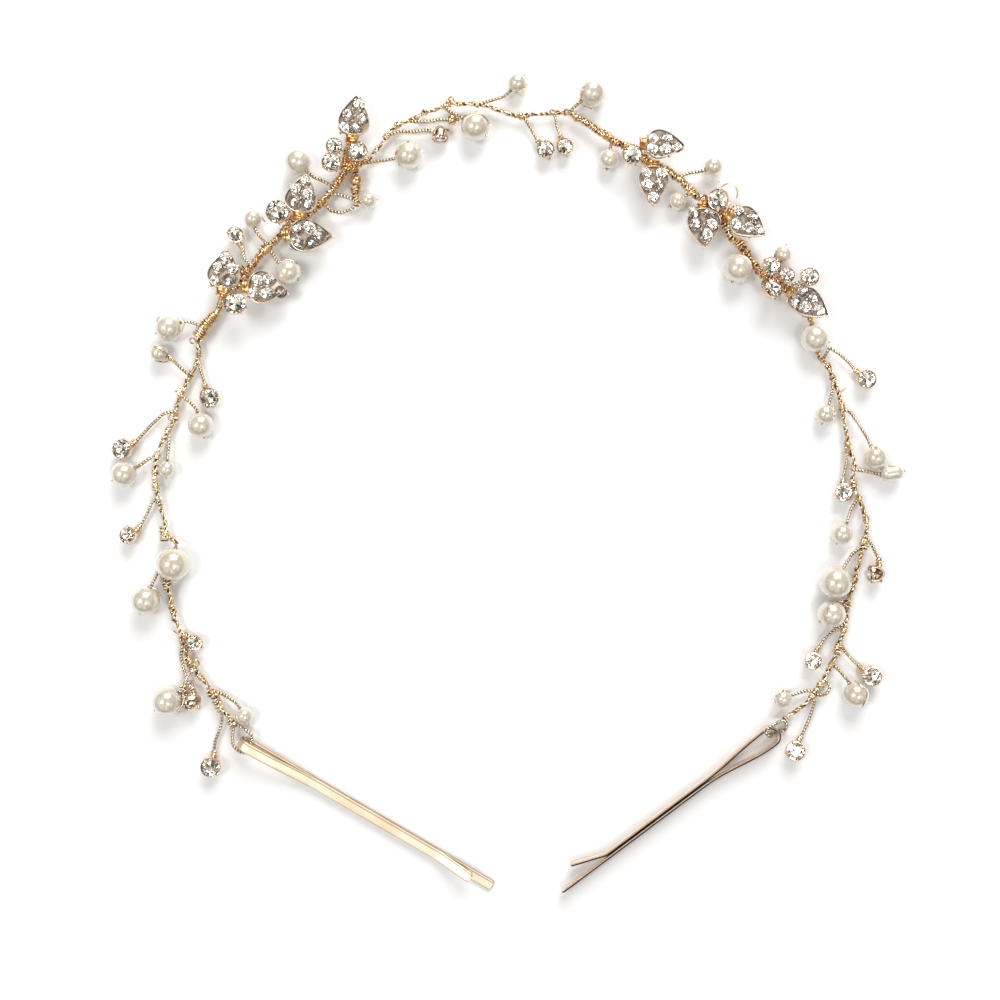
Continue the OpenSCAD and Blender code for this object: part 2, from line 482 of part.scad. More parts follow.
// Height of a drop's wire at which the turned cup stays just above the surface
DROP_GAP = 0.1;
function drop_height(row) =
    DROP_GAP + max([for (p = cup_outline(row[2])) p.x * abs(sin(row[3])) - p.y * cos(row[3])]);
function drop_place(row) = [row[0], row[1], drop_height(row)];
function drop_angle(row) = bearing(row[5][len(row[5]) - 1], row);
function cluster_place(row) = [row[0], row[1], row[4]];
function cluster_angle(row) = bearing(row[6][len(row[6]) - 1], row);

module drop_settings() {
    color("#dcae72")
    for (row = DROPS)
        placed(drop_place(row), drop_angle(row), row[3]) claw_setting(row[2]);
}

module drop_stones() {
    color("#e8eef2")
    for (row = DROPS)
        let (r = stone_r(row[2]))
            placed(drop_place(row), drop_angle(row), row[3])
                translate([0, 0, girdle_height(r)]) stone(r);
}

module cluster_settings() {
    color("#dcae72")
    for (row = CLUSTERS)
        placed(cluster_place(row), cluster_angle(row), row[3]) claw_setting(row[2]);
}

module cluster_stones() {
    color("#e8eef2")
    for (row = CLUSTERS)
        let (r = stone_r(row[2]))
            placed(cluster_place(row), cluster_angle(row), row[3])
                translate([0, 0, girdle_height(r)]) stone(r);
}

// Leaves. A leaf's own base is at x = 0 and its tip at x = its length, its underside at z = 0.

// Half width of a leaf at the share t of its length: round at the base, widest at a third, then pointed
WIDEST_EARLY = 0.62;
ROUNDNESS = 0.85;
function leaf_half(t, width) = width / 2 * pow(max(0, sin(180 * pow(t, WIDEST_EARLY))), ROUNDNESS);

LEAF_STEPS = 14;
function leaf_outline(length, width) = concat(
    [for (i = [0 : LEAF_STEPS]) let (t = pow(i / LEAF_STEPS, 2)) [length * t, leaf_half(t, width)]],
    [for (i = [LEAF_STEPS - 1 : -1 : 1]) let (t = pow(i / LEAF_STEPS, 2)) [length * t, -leaf_half(t, width)]]
);

// Places of a leaf's five stones: distance from the base and across, for a leaf of full size
LEAF_SEATS = [[1.35, 1.2], [1.35, -1.2], [3.45, 1.2], [3.45, -1.2], [5.3, 0]];
FULL_LEAF_WIDTH = 5.9;
FULL_LEAF_LENGTH = 7;
LEAF_STONE_D = 2.04;
SEAT_GAP = 0.08;
SEAT_DEPTH = 0.75;
function leaf_stone_r(width) = LEAF_STONE_D / 2 * width / FULL_LEAF_WIDTH;

module on_leaf(row) {
    translate([row[0], row[1], row[4]]) rotate(row[2]) translate([-row[5], 0, 0]) children();
}

module at_seats(row) {
    for (seat = LEAF_SEATS)
        translate([0, 0, leaf_thick - leaf_bed])
            translate([seat.x * row[5] / FULL_LEAF_LENGTH, seat.y * row[3] / FULL_LEAF_WIDTH, 0])
                children();
}

module leaf(i) {
    row = LEAVES[i];
    width = row[3];
    length = row[5];
    color("#d7a86a") on_leaf(row) difference() {
        union() {
            linear_extrude(leaf_thick) polygon(leaf_outline(length, width));
            translate([-tab_length, -tab_width / 2, 0]) cube([tab_length + 1, tab_width, leaf_thick / 2]);
        }
        translate([leaf_rim, 0, leaf_thick - leaf_bed]) linear_extrude(leaf_thick)
            polygon(leaf_outline(length - 3 * leaf_rim, width - 2 * leaf_rim));
        at_seats(row) translate([0, 0, -SEAT_DEPTH])
            cylinder(r = leaf_stone_r(width) + SEAT_GAP, h = SEAT_DEPTH + leaf_thick);
    }
}

module leaf_stones(first, last) {
    color("#eef2f5")
    for (i = [first : last])
        on_leaf(LEAVES[i]) at_seats(LEAVES[i]) stone(leaf_stone_r(LEAVES[i][3]));
}

// Wire

// The spine is thin at the ends of a stem and reaches its full thickness after a few points
function spine_radii(section) =
    let (last = len(SPINES[section]) - 1, thin = spine_d / 2, full = section_radius(section),
         taper = section == RIGHT_STEM ? 9 : 3)
    [for (i = [0 : last]) thin + (full - thin) * min(1, i / 3, (last - i) / taper)];

module spine(section) {
    z = section_height(section);
    tube(rising(SPINES[section], z, z), spine_radii(section));
}

module pearl_wires(section) {
    for (row = PEARLS)
        if (row[3] == section && !on_spine(row))
            let (centre = pearl_centre(row), way = rising(row[4], section_height(section), centre.z))
                even_tube(through(way, centre, row[2] / 2), sprig_d);
}

module drop_wires(section) {
    for (row = DROPS)
        if (row[4] == section)
            let (centre = drop_place(row), way = rising(row[5], section_height(section), centre.z))
                even_tube(through(way, centre, cup_r(row[2], 0)), sprig_d);
}

module cluster_wires(section) {
    for (row = CLUSTERS)
        if (row[5] == section)
            let (centre = cluster_place(row), way = rising(row[6], section_height(section), centre.z))
                bent_wire(through(way, centre, cup_r(row[2], 0)), sprig_d);
}

module bead_wires(section) {
    for (row = METAL_BEADS)
        if (row[3] == section)
            let (centre = metal_bead_centre(row), way = rising(row[4], centre.z, centre.z))
                even_tube(through(way, centre, row[2] / 2), sprig_d);
}

module branches(section) {
    z = section_height(section);
    for (row = BRANCHES)
        if (row[0] == section)
            even_tube(rising(row[1], z, z), sprig_d);
}

module knots(section) {
    z = section_height(section);
    d = is_stem(section) ? stem_d + 0.1 : knot_d;
    for (row = KNOTS)
        if (row[0] == section)
            let (ends = rising(row[1], z, z))
                knot(ends[0], ends[1], d);
}

module wire(section) {
    color("#d8a766") {
        spine(section);
        pearl_wires(section);
        drop_wires(section);
        cluster_wires(section);
        bead_wires(section);
        branches(section);
        knots(section);
        if (section == LEFT_LOWER)
            bent_wire(LEFT_LOOP, sprig_d);
        if (section == RIGHT_LOWER)
            bent_wire(RIGHT_LOOP, sprig_d);
    }
}

// Pins. A pin's own origin is the middle of its eye, its legs run along X and its strip is
// pin_width wide along Z, half on either side. The long leg is at the low Y side.

PIN_PINCH = 15;
PIN_KINK = 0.785;
PIN_SHORT = 0.915;
PIN_MOUTH = 2.3;
PIN_GAP = 0.05;
// How far the long leg of the pin that lies on its side bends in from its eye
SIDE_PIN_BEND = 1.7;

// Middle line of a leg over the stretch where it bends from one level to another
BEND_STEPS = 8;
function bending(from, to) = [
    for (i = [0 : BEND_STEPS])
        [PIN_PINCH * i / BEND_STEPS, to + (from - to) * (1 + cos(180 * i / BEND_STEPS)) / 2]
];
EYE_LINE_R = eye_r - pin_thick / 2;
function long_leg(length, bend) =
    concat(bending(-EYE_LINE_R, bend - EYE_LINE_R), [[length - eye_r, bend - EYE_LINE_R]]);

// The short leg bends in to the long one, runs beside it and flares out at its end
function short_leg(length, bend) =
    let (low = bend - EYE_LINE_R + pin_thick + PIN_GAP)
    concat(
        bending(EYE_LINE_R, low),
        [[PIN_KINK * length - eye_r, low], [PIN_SHORT * length - eye_r, low + PIN_MOUTH]]
    );

// A ribbon of even thickness along a flat middle line
function ribbon_side(way, off) = [
    for (i = [0 : len(way) - 1])
        let (ahead = heading(way, i), last = i == 0 || i == len(way) - 1,
             turn = last ? 1 : ahead * unit(way[i + 1] - way[i]))
        way[i] + off / turn * [-ahead.y, ahead.x]
];
function ribbon(way, thick) = concat(
    ribbon_side(way, thick / 2),
    [for (i = [len(way) - 1 : -1 : 0]) ribbon_side(way, -thick / 2)[i]]
);

module hair_pin(length, bend) {
    translate([0, 0, -pin_width / 2]) {
        difference() {
            cylinder(r = eye_r, h = pin_width, $fn = 64);
            translate([0, 0, -1]) cylinder(r = eye_r - pin_thick, h = pin_width + 2, $fn = 64);
            translate([0, -2 * eye_r, -1]) cube([2 * eye_r, 4 * eye_r, pin_width + 2]);
        }
        linear_extrude(pin_width) polygon(ribbon(long_leg(length, bend), pin_thick));
        linear_extrude(pin_width) polygon(ribbon(short_leg(length, bend), pin_thick));
    }
}

module pin_left() {
    color("#e3b98c")
    translate([FLAT_PIN_EYE.x, FLAT_PIN_EYE.y, eye_r]) rotate([90, 0, FLAT_PIN_ANGLE])
        hair_pin(flat_pin_length, 0);
}

module pin_right() {
    color("#d9a98a")
    translate([SIDE_PIN_EYE.x, SIDE_PIN_EYE.y, side_pin_lift + pin_width / 2])
        rotate([180, 0, SIDE_PIN_ANGLE]) hair_pin(side_pin_length, SIDE_PIN_BEND);
}

for (i = [0 : len(PEARLS) - 1])
    pearl(i);
for (i = [0 : len(LEAVES) - 1])
    leaf(i);
for (i = [0 : len(SPINES) - 1])
    wire(i);
leaf_stones(0, FIRST_RIGHT_LEAF - 2);  // leaf_stones_left
leaf_stones(FIRST_RIGHT_LEAF - 1, len(LEAVES) - 1);  // leaf_stones_right
drop_settings();
drop_stones();
cluster_settings();
cluster_stones();
gold_beads();
pin_left();
pin_right();
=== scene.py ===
from math import cos, pi, radians, sin

import bpy
import numpy as np
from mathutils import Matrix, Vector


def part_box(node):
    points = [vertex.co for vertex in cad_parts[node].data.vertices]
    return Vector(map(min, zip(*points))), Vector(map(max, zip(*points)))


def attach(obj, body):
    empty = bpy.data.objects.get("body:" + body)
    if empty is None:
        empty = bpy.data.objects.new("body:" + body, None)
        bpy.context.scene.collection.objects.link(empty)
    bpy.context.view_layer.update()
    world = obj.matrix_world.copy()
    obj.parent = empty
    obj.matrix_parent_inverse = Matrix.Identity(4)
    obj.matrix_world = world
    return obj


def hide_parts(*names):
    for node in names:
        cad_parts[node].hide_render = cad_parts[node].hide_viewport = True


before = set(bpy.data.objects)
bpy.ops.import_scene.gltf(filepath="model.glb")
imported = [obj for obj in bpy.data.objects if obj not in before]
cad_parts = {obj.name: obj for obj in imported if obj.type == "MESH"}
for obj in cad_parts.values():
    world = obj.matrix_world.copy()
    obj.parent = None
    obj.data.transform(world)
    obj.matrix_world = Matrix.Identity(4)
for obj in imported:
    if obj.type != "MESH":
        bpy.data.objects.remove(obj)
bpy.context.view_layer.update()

# The spine
# Soft copper wire, 0.3 to 0.4 mm thick and plated pale gold. Two stouter wires and a thinner one
# are loosely laid round each other, so that they cross every few millimetres and open into small
# eyes. Where leaves and stones are bound on, a thin wire is wound round them turn beside turn.

MM = 0.001
UP = np.array([0.0, 0.0, 1.0])
chance = np.random.default_rng(11)

STRAND_R = 0.2
THIN_R = 0.17
# How far each kind lies from the middle line, and the length of one of its turns
STRAND_LAY, STRAND_TURN = 0.29, 2.6
THIN_LAY, THIN_TURN = 0.36, 2.1
SPINE_R = 0.53
STEM_R = 0.75
# Inside a stem's windings its own wires are this much nearer to the middle line
CORE_INSET = 0.3
# Pitch and radius of the wire wound on a stem turn beside turn, and of the one that crosses it
CLOSE_WRAP = (0.52, 0.155)
CROSSING_WRAP = (-2.3, 0.17)
CROSSING_LIFT = 0.04
# Over how many points of its line a stem grows thick, and thins again
EASE_IN = 3
EASE_OUT = {"left_stem": 3, "right_stem": 9}
SPINE_Z = 1.5
STEM_Z = 2.0
STEMS = ("left_stem", "right_stem")
# Spacing of the points along a loosely laid wire, and along a close winding
LAY_STEP, WRAP_STEP = 0.2, 0.04
# How thick a section is at its start and at its end, as a share of the full thickness
SLIM = {"left_lower": (0.92, 0.92), "left_upper": (0.72, 0.95), "top": (0.82, 0.8),
        "right_upper": (0.8, 0.88), "right_lower": (0.9, 0.9)}

SPINES = {
    "left_lower": [
        (-49.1, -43.3), (-49.9, -42.2), (-50.8, -41.5), (-51.5, -40.6), (-51.8, -39.5),
        (-52.2, -38.4), (-52.7, -37.7), (-53.5, -37.2), (-54.2, -36.1), (-55.1, -35),
        (-55.8, -34.3), (-56.3, -33.2), (-57.2, -32), (-58, -30), (-58.5, -28.7), (-59, -25.8),
        (-59.8, -24.6), (-60.3, -23.1), (-60.7, -21.7), (-60.7, -20.4), (-61, -18.9, 2.2),
        (-60.6, -17.9, 3), (-59.2, -11.2, 3)],
    "left_upper": [
        (-59.1, -10.9, 3), (-59.4, -10.4, 2.8), (-60.1, -10.1, 2.3), (-61.1, -9.6), (-61.6, -8.4),
        (-61.5, -7), (-62, -5.7), (-62.6, -4.2), (-63, -2.3), (-63.3, 0), (-63.5, 2.3),
        (-63.2, 4.3), (-62.6, 6.6), (-61.7, 8.2), (-60.7, 10.2), (-59.7, 11.8), (-59.7, 13.1),
        (-59.4, 14.3), (-58.1, 17.4), (-56.9, 19.9), (-56, 21.5), (-55.4, 23.1), (-55.6, 24.8),
        (-55.6, 26.6)],
    "left_stem": [
        (-55.6, 26.6), (-54.4, 28.5), (-52.9, 30), (-51.7, 31.6), (-51.3, 33.4), (-50.4, 34.7),
        (-48.6, 35.6), (-47.3, 37), (-46.1, 39), (-43.6, 42), (-42.1, 43.3), (-40.7, 44.6),
        (-39.7, 46), (-38.7, 47.3), (-36.7, 48.2), (-34.9, 48.9), (-33.8, 50.1), (-31.3, 53),
        (-30.2, 54.5), (-29.2, 56.1), (-28.1, 57.7), (-25.9, 57.9), (-24.6, 58.7)],
    "top": [
        (-24.6, 58.7), (-23.6, 60), (-22.5, 61.5), (-21.4, 63.1), (-20.5, 64.2), (-18.9, 65.1),
        (-17.5, 65.7), (-15.8, 66.2), (-14.8, 67.2), (-13.3, 67.4), (-11.2, 68.2), (-9.9, 68.9),
        (-8.6, 68.5), (-6.5, 68.7), (-4.7, 68.6), (-3.2, 68.2), (-0.2, 67.1), (1.6, 66.5),
        (3.2, 66.3), (4.7, 66.8), (7.2, 66.8), (8.8, 67.1), (11.7, 67)],
    "right_stem": [
        (11.7, 67), (12.8, 65.9), (14.8, 65), (16.4, 63.7), (18, 62.8), (20.5, 61.1), (22, 60.8),
        (25.9, 58.1), (29.2, 56.5), (30.6, 55.4), (32, 54.3), (34, 52), (35.6, 51.4), (37.3, 50.5),
        (38.9, 49.1), (39.8, 47.1), (40, 45.3), (41, 44), (43.6, 41.7, 1.4), (44.6, 40.2, 1.4),
        (45.4, 38.4), (46.8, 37.2), (48.6, 36.3), (50.4, 34.8), (52.9, 32.5), (54.6, 30.2),
        (55, 29.1, 2.55), (56.2, 23.2, 2.55)],
    "right_upper": [
        (56.3, 22.8, 2.5), (56.6, 22.4, 2.3), (57.2, 22.2), (58, 21.7), (58.3, 20.7), (59, 19.9),
        (59, 18.5), (59.9, 17.2), (60.5, 14.9), (61, 11.8), (61.7, 8.2), (61.6, 6.8), (62.3, 5.5),
        (62.9, 4.2), (62.8, 2.6), (62.6, 1), (63, -0.6), (63.7, -2.6), (64.4, -4.4), (65.3, -7.4),
        (65.1, -8.8)],
    "right_lower": [
        (65.1, -8.8), (64.8, -9.8), (64.4, -11.1), (64.1, -13.1), (63.2, -16.3), (63, -17.7),
        (62.5, -19.4), (61.8, -21, 1.2), (61.8, -22.8, 1.2), (61.5, -24.6, 1.2), (61.2, -26.2),
        (60, -29.4), (59.6, -31.1), (57.4, -35.4), (56.3, -36.8), (55.6, -38.1), (54.4, -39.6),
        (51.1, -42), (50, -42.9)],
}


def unit(v):
    """Each vector divided by its own length."""
    return v / np.linalg.norm(v, axis=-1, keepdims=True)


def travelled(line):
    """How far along a line each of its points lies."""
    return np.append(0, np.cumsum(np.linalg.norm(np.diff(line, axis=0), axis=1)))


def rising(points, z0, z1):
    """Points with a height for each: its own, or one that goes evenly from z0 to z1."""
    heights = np.linspace(z0, z1, len(points))
    return np.array([tuple(p) if len(p) == 3 else (*p, z) for p, z in zip(points, heights)])


def route(points, step, soften=0.5):
    """The broken line through the points in even steps, its corners rounded by a running mean.

    The mean is 2 soften wide and is taken twice; beyond an end the line goes on as its own mirror
    image through that end, so the two ends stay where they are.
    """
    points = np.asarray(points, float)
    far = travelled(points)
    s = np.linspace(0, far[-1], max(5, round(far[-1] / step) + 1))
    line = np.stack([np.interp(s, far, points[:, k]) for k in range(3)], axis=1)
    half = max(1, min(round(soften / step), len(line) // 2 - 1))
    for _ in range(2):
        before = 2 * line[0] - line[half:0:-1]
        after = 2 * line[-1] - line[-2:-half - 2:-1]
        longer = np.vstack([before, line, after])
        total = np.cumsum(np.vstack([np.zeros(3), longer]), axis=0)
        line = (total[2 * half + 1:] - total[:-2 * half - 1]) / (2 * half + 1)
    return line


def square_to(line, up):
    """Two directions square to a line at each point: the side, square to up too, and the top."""
    ahead = unit(np.gradient(line, axis=0))
    side = unit(np.cross(up, ahead))
    return side, np.cross(ahead, side)


def tube(line, radius, sides=7, up=UP, shade_depth=0.0):
    """A round wire: point (i, v) is line_i + radius_i (cos v side_i + sin v top_i).

    The fourth number of a point is painted shade, strongest on the side away from top: the given
    depth times (1 - sin v) / 2.
    """
    side, top = square_to(line, up)
    v = np.arange(sides) * 2 * pi / sides
    around = np.cos(v)[:, None] * side[:, None] + np.sin(v)[:, None] * top[:, None]
    skin = line[:, None] + np.reshape(radius, (-1, 1, 1)) * around
    painted_shade = np.broadcast_to(shade_depth * (1 - np.sin(v)) / 2, skin.shape[:2])
    return np.concatenate([skin, painted_shade[..., None]], axis=2)


def wound(line, lay, turn, radius, sides=7, up=UP, shade_depth=1.0):
    """A wire wound round a line: its middle is line + lay (cos turn side + sin turn top)."""
    side, top = square_to(line, up)
    out = np.cos(turn)[:, None] * side + np.sin(turn)[:, None] * top
    # The painted shade falls on the side of the wire that faces the line it is wound round
    return tube(line + np.reshape(lay, (-1, 1)) * out, radius, sides, out, shade_depth)


def waves(s, length, size):
    """Slow irregular waves along s: three sines of unlike lengths, from a seeded start."""
    start = chance.uniform(0, 2 * pi, 3)
    sines = (np.sin(2 * pi * s / (length * k) + a) for k, a in zip((1, 0.62, 1.71), start))
    return size / 2 * sum(sines)


def loose_lay(line, reach):
    """The spine's three wires: two stout ones opposite each other, a thin one wound over them.

    turn = 2 pi s / STRAND_TURN for the stout pair and -2 pi s / THIN_TURN for the thin wire, with
    slow waves in both.
    """
    s = travelled(line)
    turn = 2 * pi * s / STRAND_TURN + waves(s, 5, 0.9)
    lay = (STRAND_LAY + waves(s, 3.1, 0.12)) * reach / SPINE_R
    over = 2 * pi * s / THIN_TURN + waves(s, 4, 1.5)
    return [wound(line, lay, turn, STRAND_R, 8),
            wound(line, lay, turn + pi, STRAND_R, 8),
            wound(line, THIN_LAY * reach / SPINE_R, -over, THIN_R)]


def binding(line, reach, pitch, radius):
    """Wire wound round a bundle: turn = 2 pi s / p, where p goes between 0.8 and 1.55 pitch."""
    s = travelled(line)
    rate = 1 / (pitch * (1 + 0.35 * np.sin(s * 1.9) ** 2 + 0.2 * np.sin(s * 5.3 + 1)))
    turn = 2 * pi * np.append(0, np.cumsum(np.diff(s) * rate[1:]))
    lay = reach - radius + waves(s, 1.3, 0.1)
    return wound(line, lay, turn, radius)


def section_z(name):
    """Height of a section's middle line."""
    return STEM_Z if name in STEMS else SPINE_Z


def section_wires(name):
    """The wires that run along one section of the spine, and those wound round it."""
    way = rising(SPINES[name], section_z(name), section_z(name))
    line = route(way, LAY_STEP)
    if name not in STEMS:
        return loose_lay(line, SPINE_R * np.linspace(*SLIM[name], len(line))), []
    rank = np.arange(len(way))
    ease = np.minimum.reduce([rank / EASE_IN, rank[::-1] / EASE_OUT[name], np.ones(len(way))])
    reach = SPINE_R + (STEM_R - SPINE_R) * ease
    wrap_line = route(way, WRAP_STEP)
    core_reach = np.interp(travelled(line), travelled(way), reach) - CORE_INSET
    wrap_reach = np.interp(travelled(wrap_line), travelled(way), reach)
    return loose_lay(line, core_reach), [
        binding(wrap_line, wrap_reach, *CLOSE_WRAP),
        binding(wrap_line, wrap_reach + CROSSING_LIFT, *CROSSING_WRAP)]


wires, bound = {}, {}
for name in SPINES:
    wires[name], bound[name] = section_wires(name)
sprigs = {name: [] for name in SPINES}

# The knots
# Where a sprig leaves the spine its two wires are wound round it two to four times and pinched
# flat. Each row is the two ends of one knot, on the spine's middle line.

KNOT_R = 0.66
STEM_KNOT_R = STEM_R + 0.05
KNOTS = {
    "left_lower": [
        (-49.6, -42.8, -49, -43.8), (-51.1, -41.3, -51.6, -40.4), (-52.4, -38.2, -53, -37.4),
        (-55, -35.2, -55.7, -34.5), (-56.5, -33.3, -56.9, -33.9), (-57.9, -36, -57.9, -36.7),
        (-58.5, -29, -58.8, -27.4), (-60.2, -23.3, -60.6, -21.4)],
    "left_upper": [
        (-61.4, -9.4, -61.6, -8.4), (-62.5, -4.4, -62.9, -2.7), (-63.4, 1.4, -63.5, 2.4),
        (-63.2, 4.4, -63, 5.4), (-61.3, 9, -60.8, 10), (-59.8, 11.8, -59.7, 13),
        (-59, 15.2, -58.5, 16.4), (-57.2, 19.2, -56.7, 20.2), (-55.5, 22.8, -55.5, 23.8)],
    "left_stem": [
        (-54.6, 28.2, -53.8, 29), (-51.4, 33, -50.9, 34), (-48.2, 36, -47.4, 36.9),
        (-43.6, 42, -42.8, 42.7), (-40.4, 45, -39.8, 45.9), (-38.3, 47.5, -37.3, 48),
        (-33.6, 50.3, -32.8, 51.3), (-30.4, 54.2, -29.8, 55.2), (-28.3, 57.3, -27.7, 57.7)],
    "top": [
        (-21.9, 62.3, -21.4, 63.1), (-20.2, 64.4, -19.2, 65), (-15.2, 66.9, -14.4, 67.2),
        (-10.8, 68.4, -10, 68.8), (-5.6, 68.6, -4.7, 68.6), (2.4, 66.4, 3.4, 66.4),
        (8, 66.9, 9, 67.1), (10.4, 67.1, 11.2, 67.1)],
    "right_stem": [
        (12.2, 66.6, 12.8, 66), (18, 62.8, 19, 62.1), (21.4, 60.9, 22.4, 60.5),
        (29.2, 56.5, 30, 55.9), (33, 53.2, 33.8, 52.3), (38.2, 49.7, 38.9, 49),
        (39.9, 46.4, 40, 45.5), (46, 37.9, 46.8, 37.2), (48.6, 36.3, 49.5, 35.6)],
    "right_upper": [
        (58, 21.7, 58.3, 20.8), (59, 19.6, 59, 18.6), (60.6, 14.4, 60.8, 13),
        (61.7, 7.6, 61.7, 6.6), (62.8, 3.6, 62.8, 2.4), (62.8, 0.4, 62.9, -0.4),
        (63.6, -2.2, 63.9, -3.2), (64.9, -6, 65.2, -7)],
    "right_lower": [
        (64.6, -10.4, 64.4, -11.3), (63.1, -17, 62.9, -18), (61.2, -26, 60.9, -27),
        (60.2, -28.8, 59.8, -29.8), (59, -32.3, 58.6, -33.1), (57, -35.9, 56.4, -36.7),
        (55.6, -38.1, 55.1, -38.7), (50.8, -42.2, 50.1, -42.8)],
}


def knot(ends, z, reach):
    """Two to four turns round the stretch between two points, wider in its middle than at its ends.

    turn = 2 pi turns u and lay = (reach - 0.6 THIN_R) (0.75 + 0.25 sin(pi u)), with u from 0 to 1
    along it.
    """
    a, b = np.array([*ends[:2], z]), np.array([*ends[2:], z])
    turns = chance.uniform(2.4, 4)
    u = np.linspace(0, 1, round(14 * turns))
    line = a + (b - a) * u[:, None] + chance.normal(0, 0.05, 3) * np.sin(2 * pi * u)[:, None]
    lay = (reach - 0.6 * THIN_R) * (0.75 + 0.25 * np.sin(pi * u)) + waves(u, 0.3, 0.06)
    start, way = chance.uniform(0, 2 * pi), chance.choice([-1, 1])
    return wound(line, lay, start + way * 2 * pi * turns * u, THIN_R)


def windings(name):
    """The list that a section's windings go into: a stem's have a finish of their own."""
    return bound[name] if name in STEMS else wires[name]


for name, rows in KNOTS.items():
    reach = STEM_KNOT_R if name in STEMS else KNOT_R
    windings(name).extend(knot(ends, section_z(name), reach) for ends in rows)

# The sprigs
# One thin wire goes through a pearl or under a stone, is folded back and twisted with itself into
# a tight silvery-gold cord of two strands, one full twist every 1.15 mm.

# A pixel's width in mm at the height SCALE_Z, and the place under the picture's middle
PIXEL = 0.18
PICTURE_SIZE = 1000
PICTURE_MIDDLE = (-1.08, -2.97)
CAMERA_HEIGHT = 240
SCALE_Z = 2.5
TWIST_R = 0.175
TWIST_PITCH = 1.15
ARC_R = 0.12
ARC_LIFT = 0.1
# How far a wire's end stands out of a pearl, how far a cord goes into one, and how far it goes on
# beyond a bead or a cup
WIRE_TAIL, CORD_INTO, CORD_PAST = 0.25, 0.1, 0.3
OVAL_PEARL = 26
OVAL_EXTRA = 1.4

# Rows: the pearl's number, the section that its wire leaves, and the way to it
PEARL_WAYS = {
    1: ("left_lower", [(-52.7, -37.5), (-51.1, -38.1), (-49.3, -39.2), (-48.3, -40)]),
    2: ("left_lower", [(-56.7, -33.6), (-57.8, -35.2), (-57.9, -36.8)]),
    3: ("left_lower", [(-60.8, -20.2), (-61.7, -17.6, 0.9), (-63, -15.9, 0.8), (-63.7, -18)]),
    5: ("left_upper", [(-63, 5.1), (-64.6, 4.4), (-66.4, 3)]),
    6: ("left_upper", [(-61, 9.3), (-60.9, 6.9), (-61.1, 4.8)]),
    7: ("left_upper", [(-58.7, 15.9), (-57.1, 14.7), (-55.8, 13.4)]),
    8: ("left_upper", [(-57, 19.4), (-58.7, 20.8), (-60.1, 22.3)]),
    9: ("left_stem", [(-54.6, 28.2), (-56.7, 29.1), (-57.9, 29.2)]),
    10: ("left_stem", [(-42.8, 43), (-44.1, 44.2), (-45.2, 45.6)]),
    11: ("left_stem", [(-42.8, 42.7), (-41.2, 39.9)]),
    12: ("left_stem", [(-31, 53.4), (-32.8, 54.5), (-34.7, 55.2), (-35.6, 56)]),
    13: ("left_stem", [(-33, 51.2), (-31.7, 49.2), (-29.9, 48.8), (-27.9, 49.4), (-27, 50.7)]),
    14: ("left_stem", [(-25.9, 57.7), (-22.7, 58.1), (-20.5, 58.4)]),
    15: ("top", [(-11.2, 68.2), (-10.3, 67.1), (-8.9, 66.5)]),
    16: ("top", [(-4.7, 68.6), (-2, 69.4), (-0.5, 69.8), (0.5, 70.5)]),
    17: ("top", [(11.2, 67.1), (12.3, 67.9), (13.3, 68.7)]),
    18: ("right_stem", [(19.1, 61.8), (18.9, 60.8)]),
    19: ("right_stem", [(31, 55.2), (33.1, 56), (35.6, 56.4)]),
    20: ("right_stem", [(33.4, 52.8), (32.7, 52.1)]),
    21: ("right_stem", [(43.6, 41.7, 1.4), (43.4, 41.9, 2), (43, 41.9)]),
    22: ("right_stem", [(48.6, 36.3), (49.3, 37.8), (49.3, 39.2)]),
    24: ("right_upper", [(59, 18.5), (58.9, 16.5), (58.4, 14.7)]),
    25: ("right_upper", [(60.8, 13.4), (62.1, 13), (63.9, 10.4), (65.3, 8)]),
    26: ("right_upper", [(62.8, 2.5), (65.2, 2.2), (67.5, 1.6)]),
    27: ("right_upper", [(63.6, -2.6), (62.1, -5), (61.6, -7)]),
    28: ("right_lower", [(64.3, -11.3), (62.5, -12.7), (60.9, -14.9)]),
    29: ("right_lower", [(61.7, -22.8, 1.2), (61.8, -21.3)]),
    30: ("right_lower", [(58.9, -32.5), (60.5, -34.1), (61.6, -35.5)]),
    31: ("right_lower", [(56, -37.4), (53.8, -37.5), (52, -38.1)]),
}

# Where a pearl's wire comes back over it or is bound beside it: lines in pixels of the picture,
# which lie on the pearl where they cross it
PEARL_ARCS = {
    2: [[(178, 689), (182, 696), (181, 706), (176, 713)]],
    3: [[(146, 587), (155, 590), (160, 599)]],
    8: [[(151, 345), (163, 350), (171, 358)], [(155, 361), (163, 362), (171, 359)]],
    9: [[(178, 318), (183, 323), (180, 331)], [(158, 316), (155, 319), (158, 322)]],
    11: [[(279, 263), (288, 259), (297, 263)]],
    14: [[(395, 154), (404, 143), (409, 141)], [(397, 161), (401, 167)]],
    15: [[(461, 116), (474, 112), (486, 117), (492, 124)]],
    16: [[(516, 92), (523, 90), (527, 84)]],
    17: [[(580, 102), (580.5, 97), (584, 87)], [(585, 104), (593, 107)]],
    22: [[(775, 257), (776, 251), (779, 248)]],
    24: [[(832, 405), (835.5, 412), (833, 419)]],
    25: [[(871, 448), (876, 446), (881, 449)], [(873, 445), (877, 449), (878, 453)]],
    26: [[(889, 466), (895, 466), (899, 470)], [(885, 469), (882, 474), (885, 479)]],
    29: [[(845, 602), (835, 601), (826, 610), (826, 618)]],
    30: [[(856, 681), (867, 692), (863, 705)]],
    31: [[(792, 693), (784, 690), (776, 696)]],
}

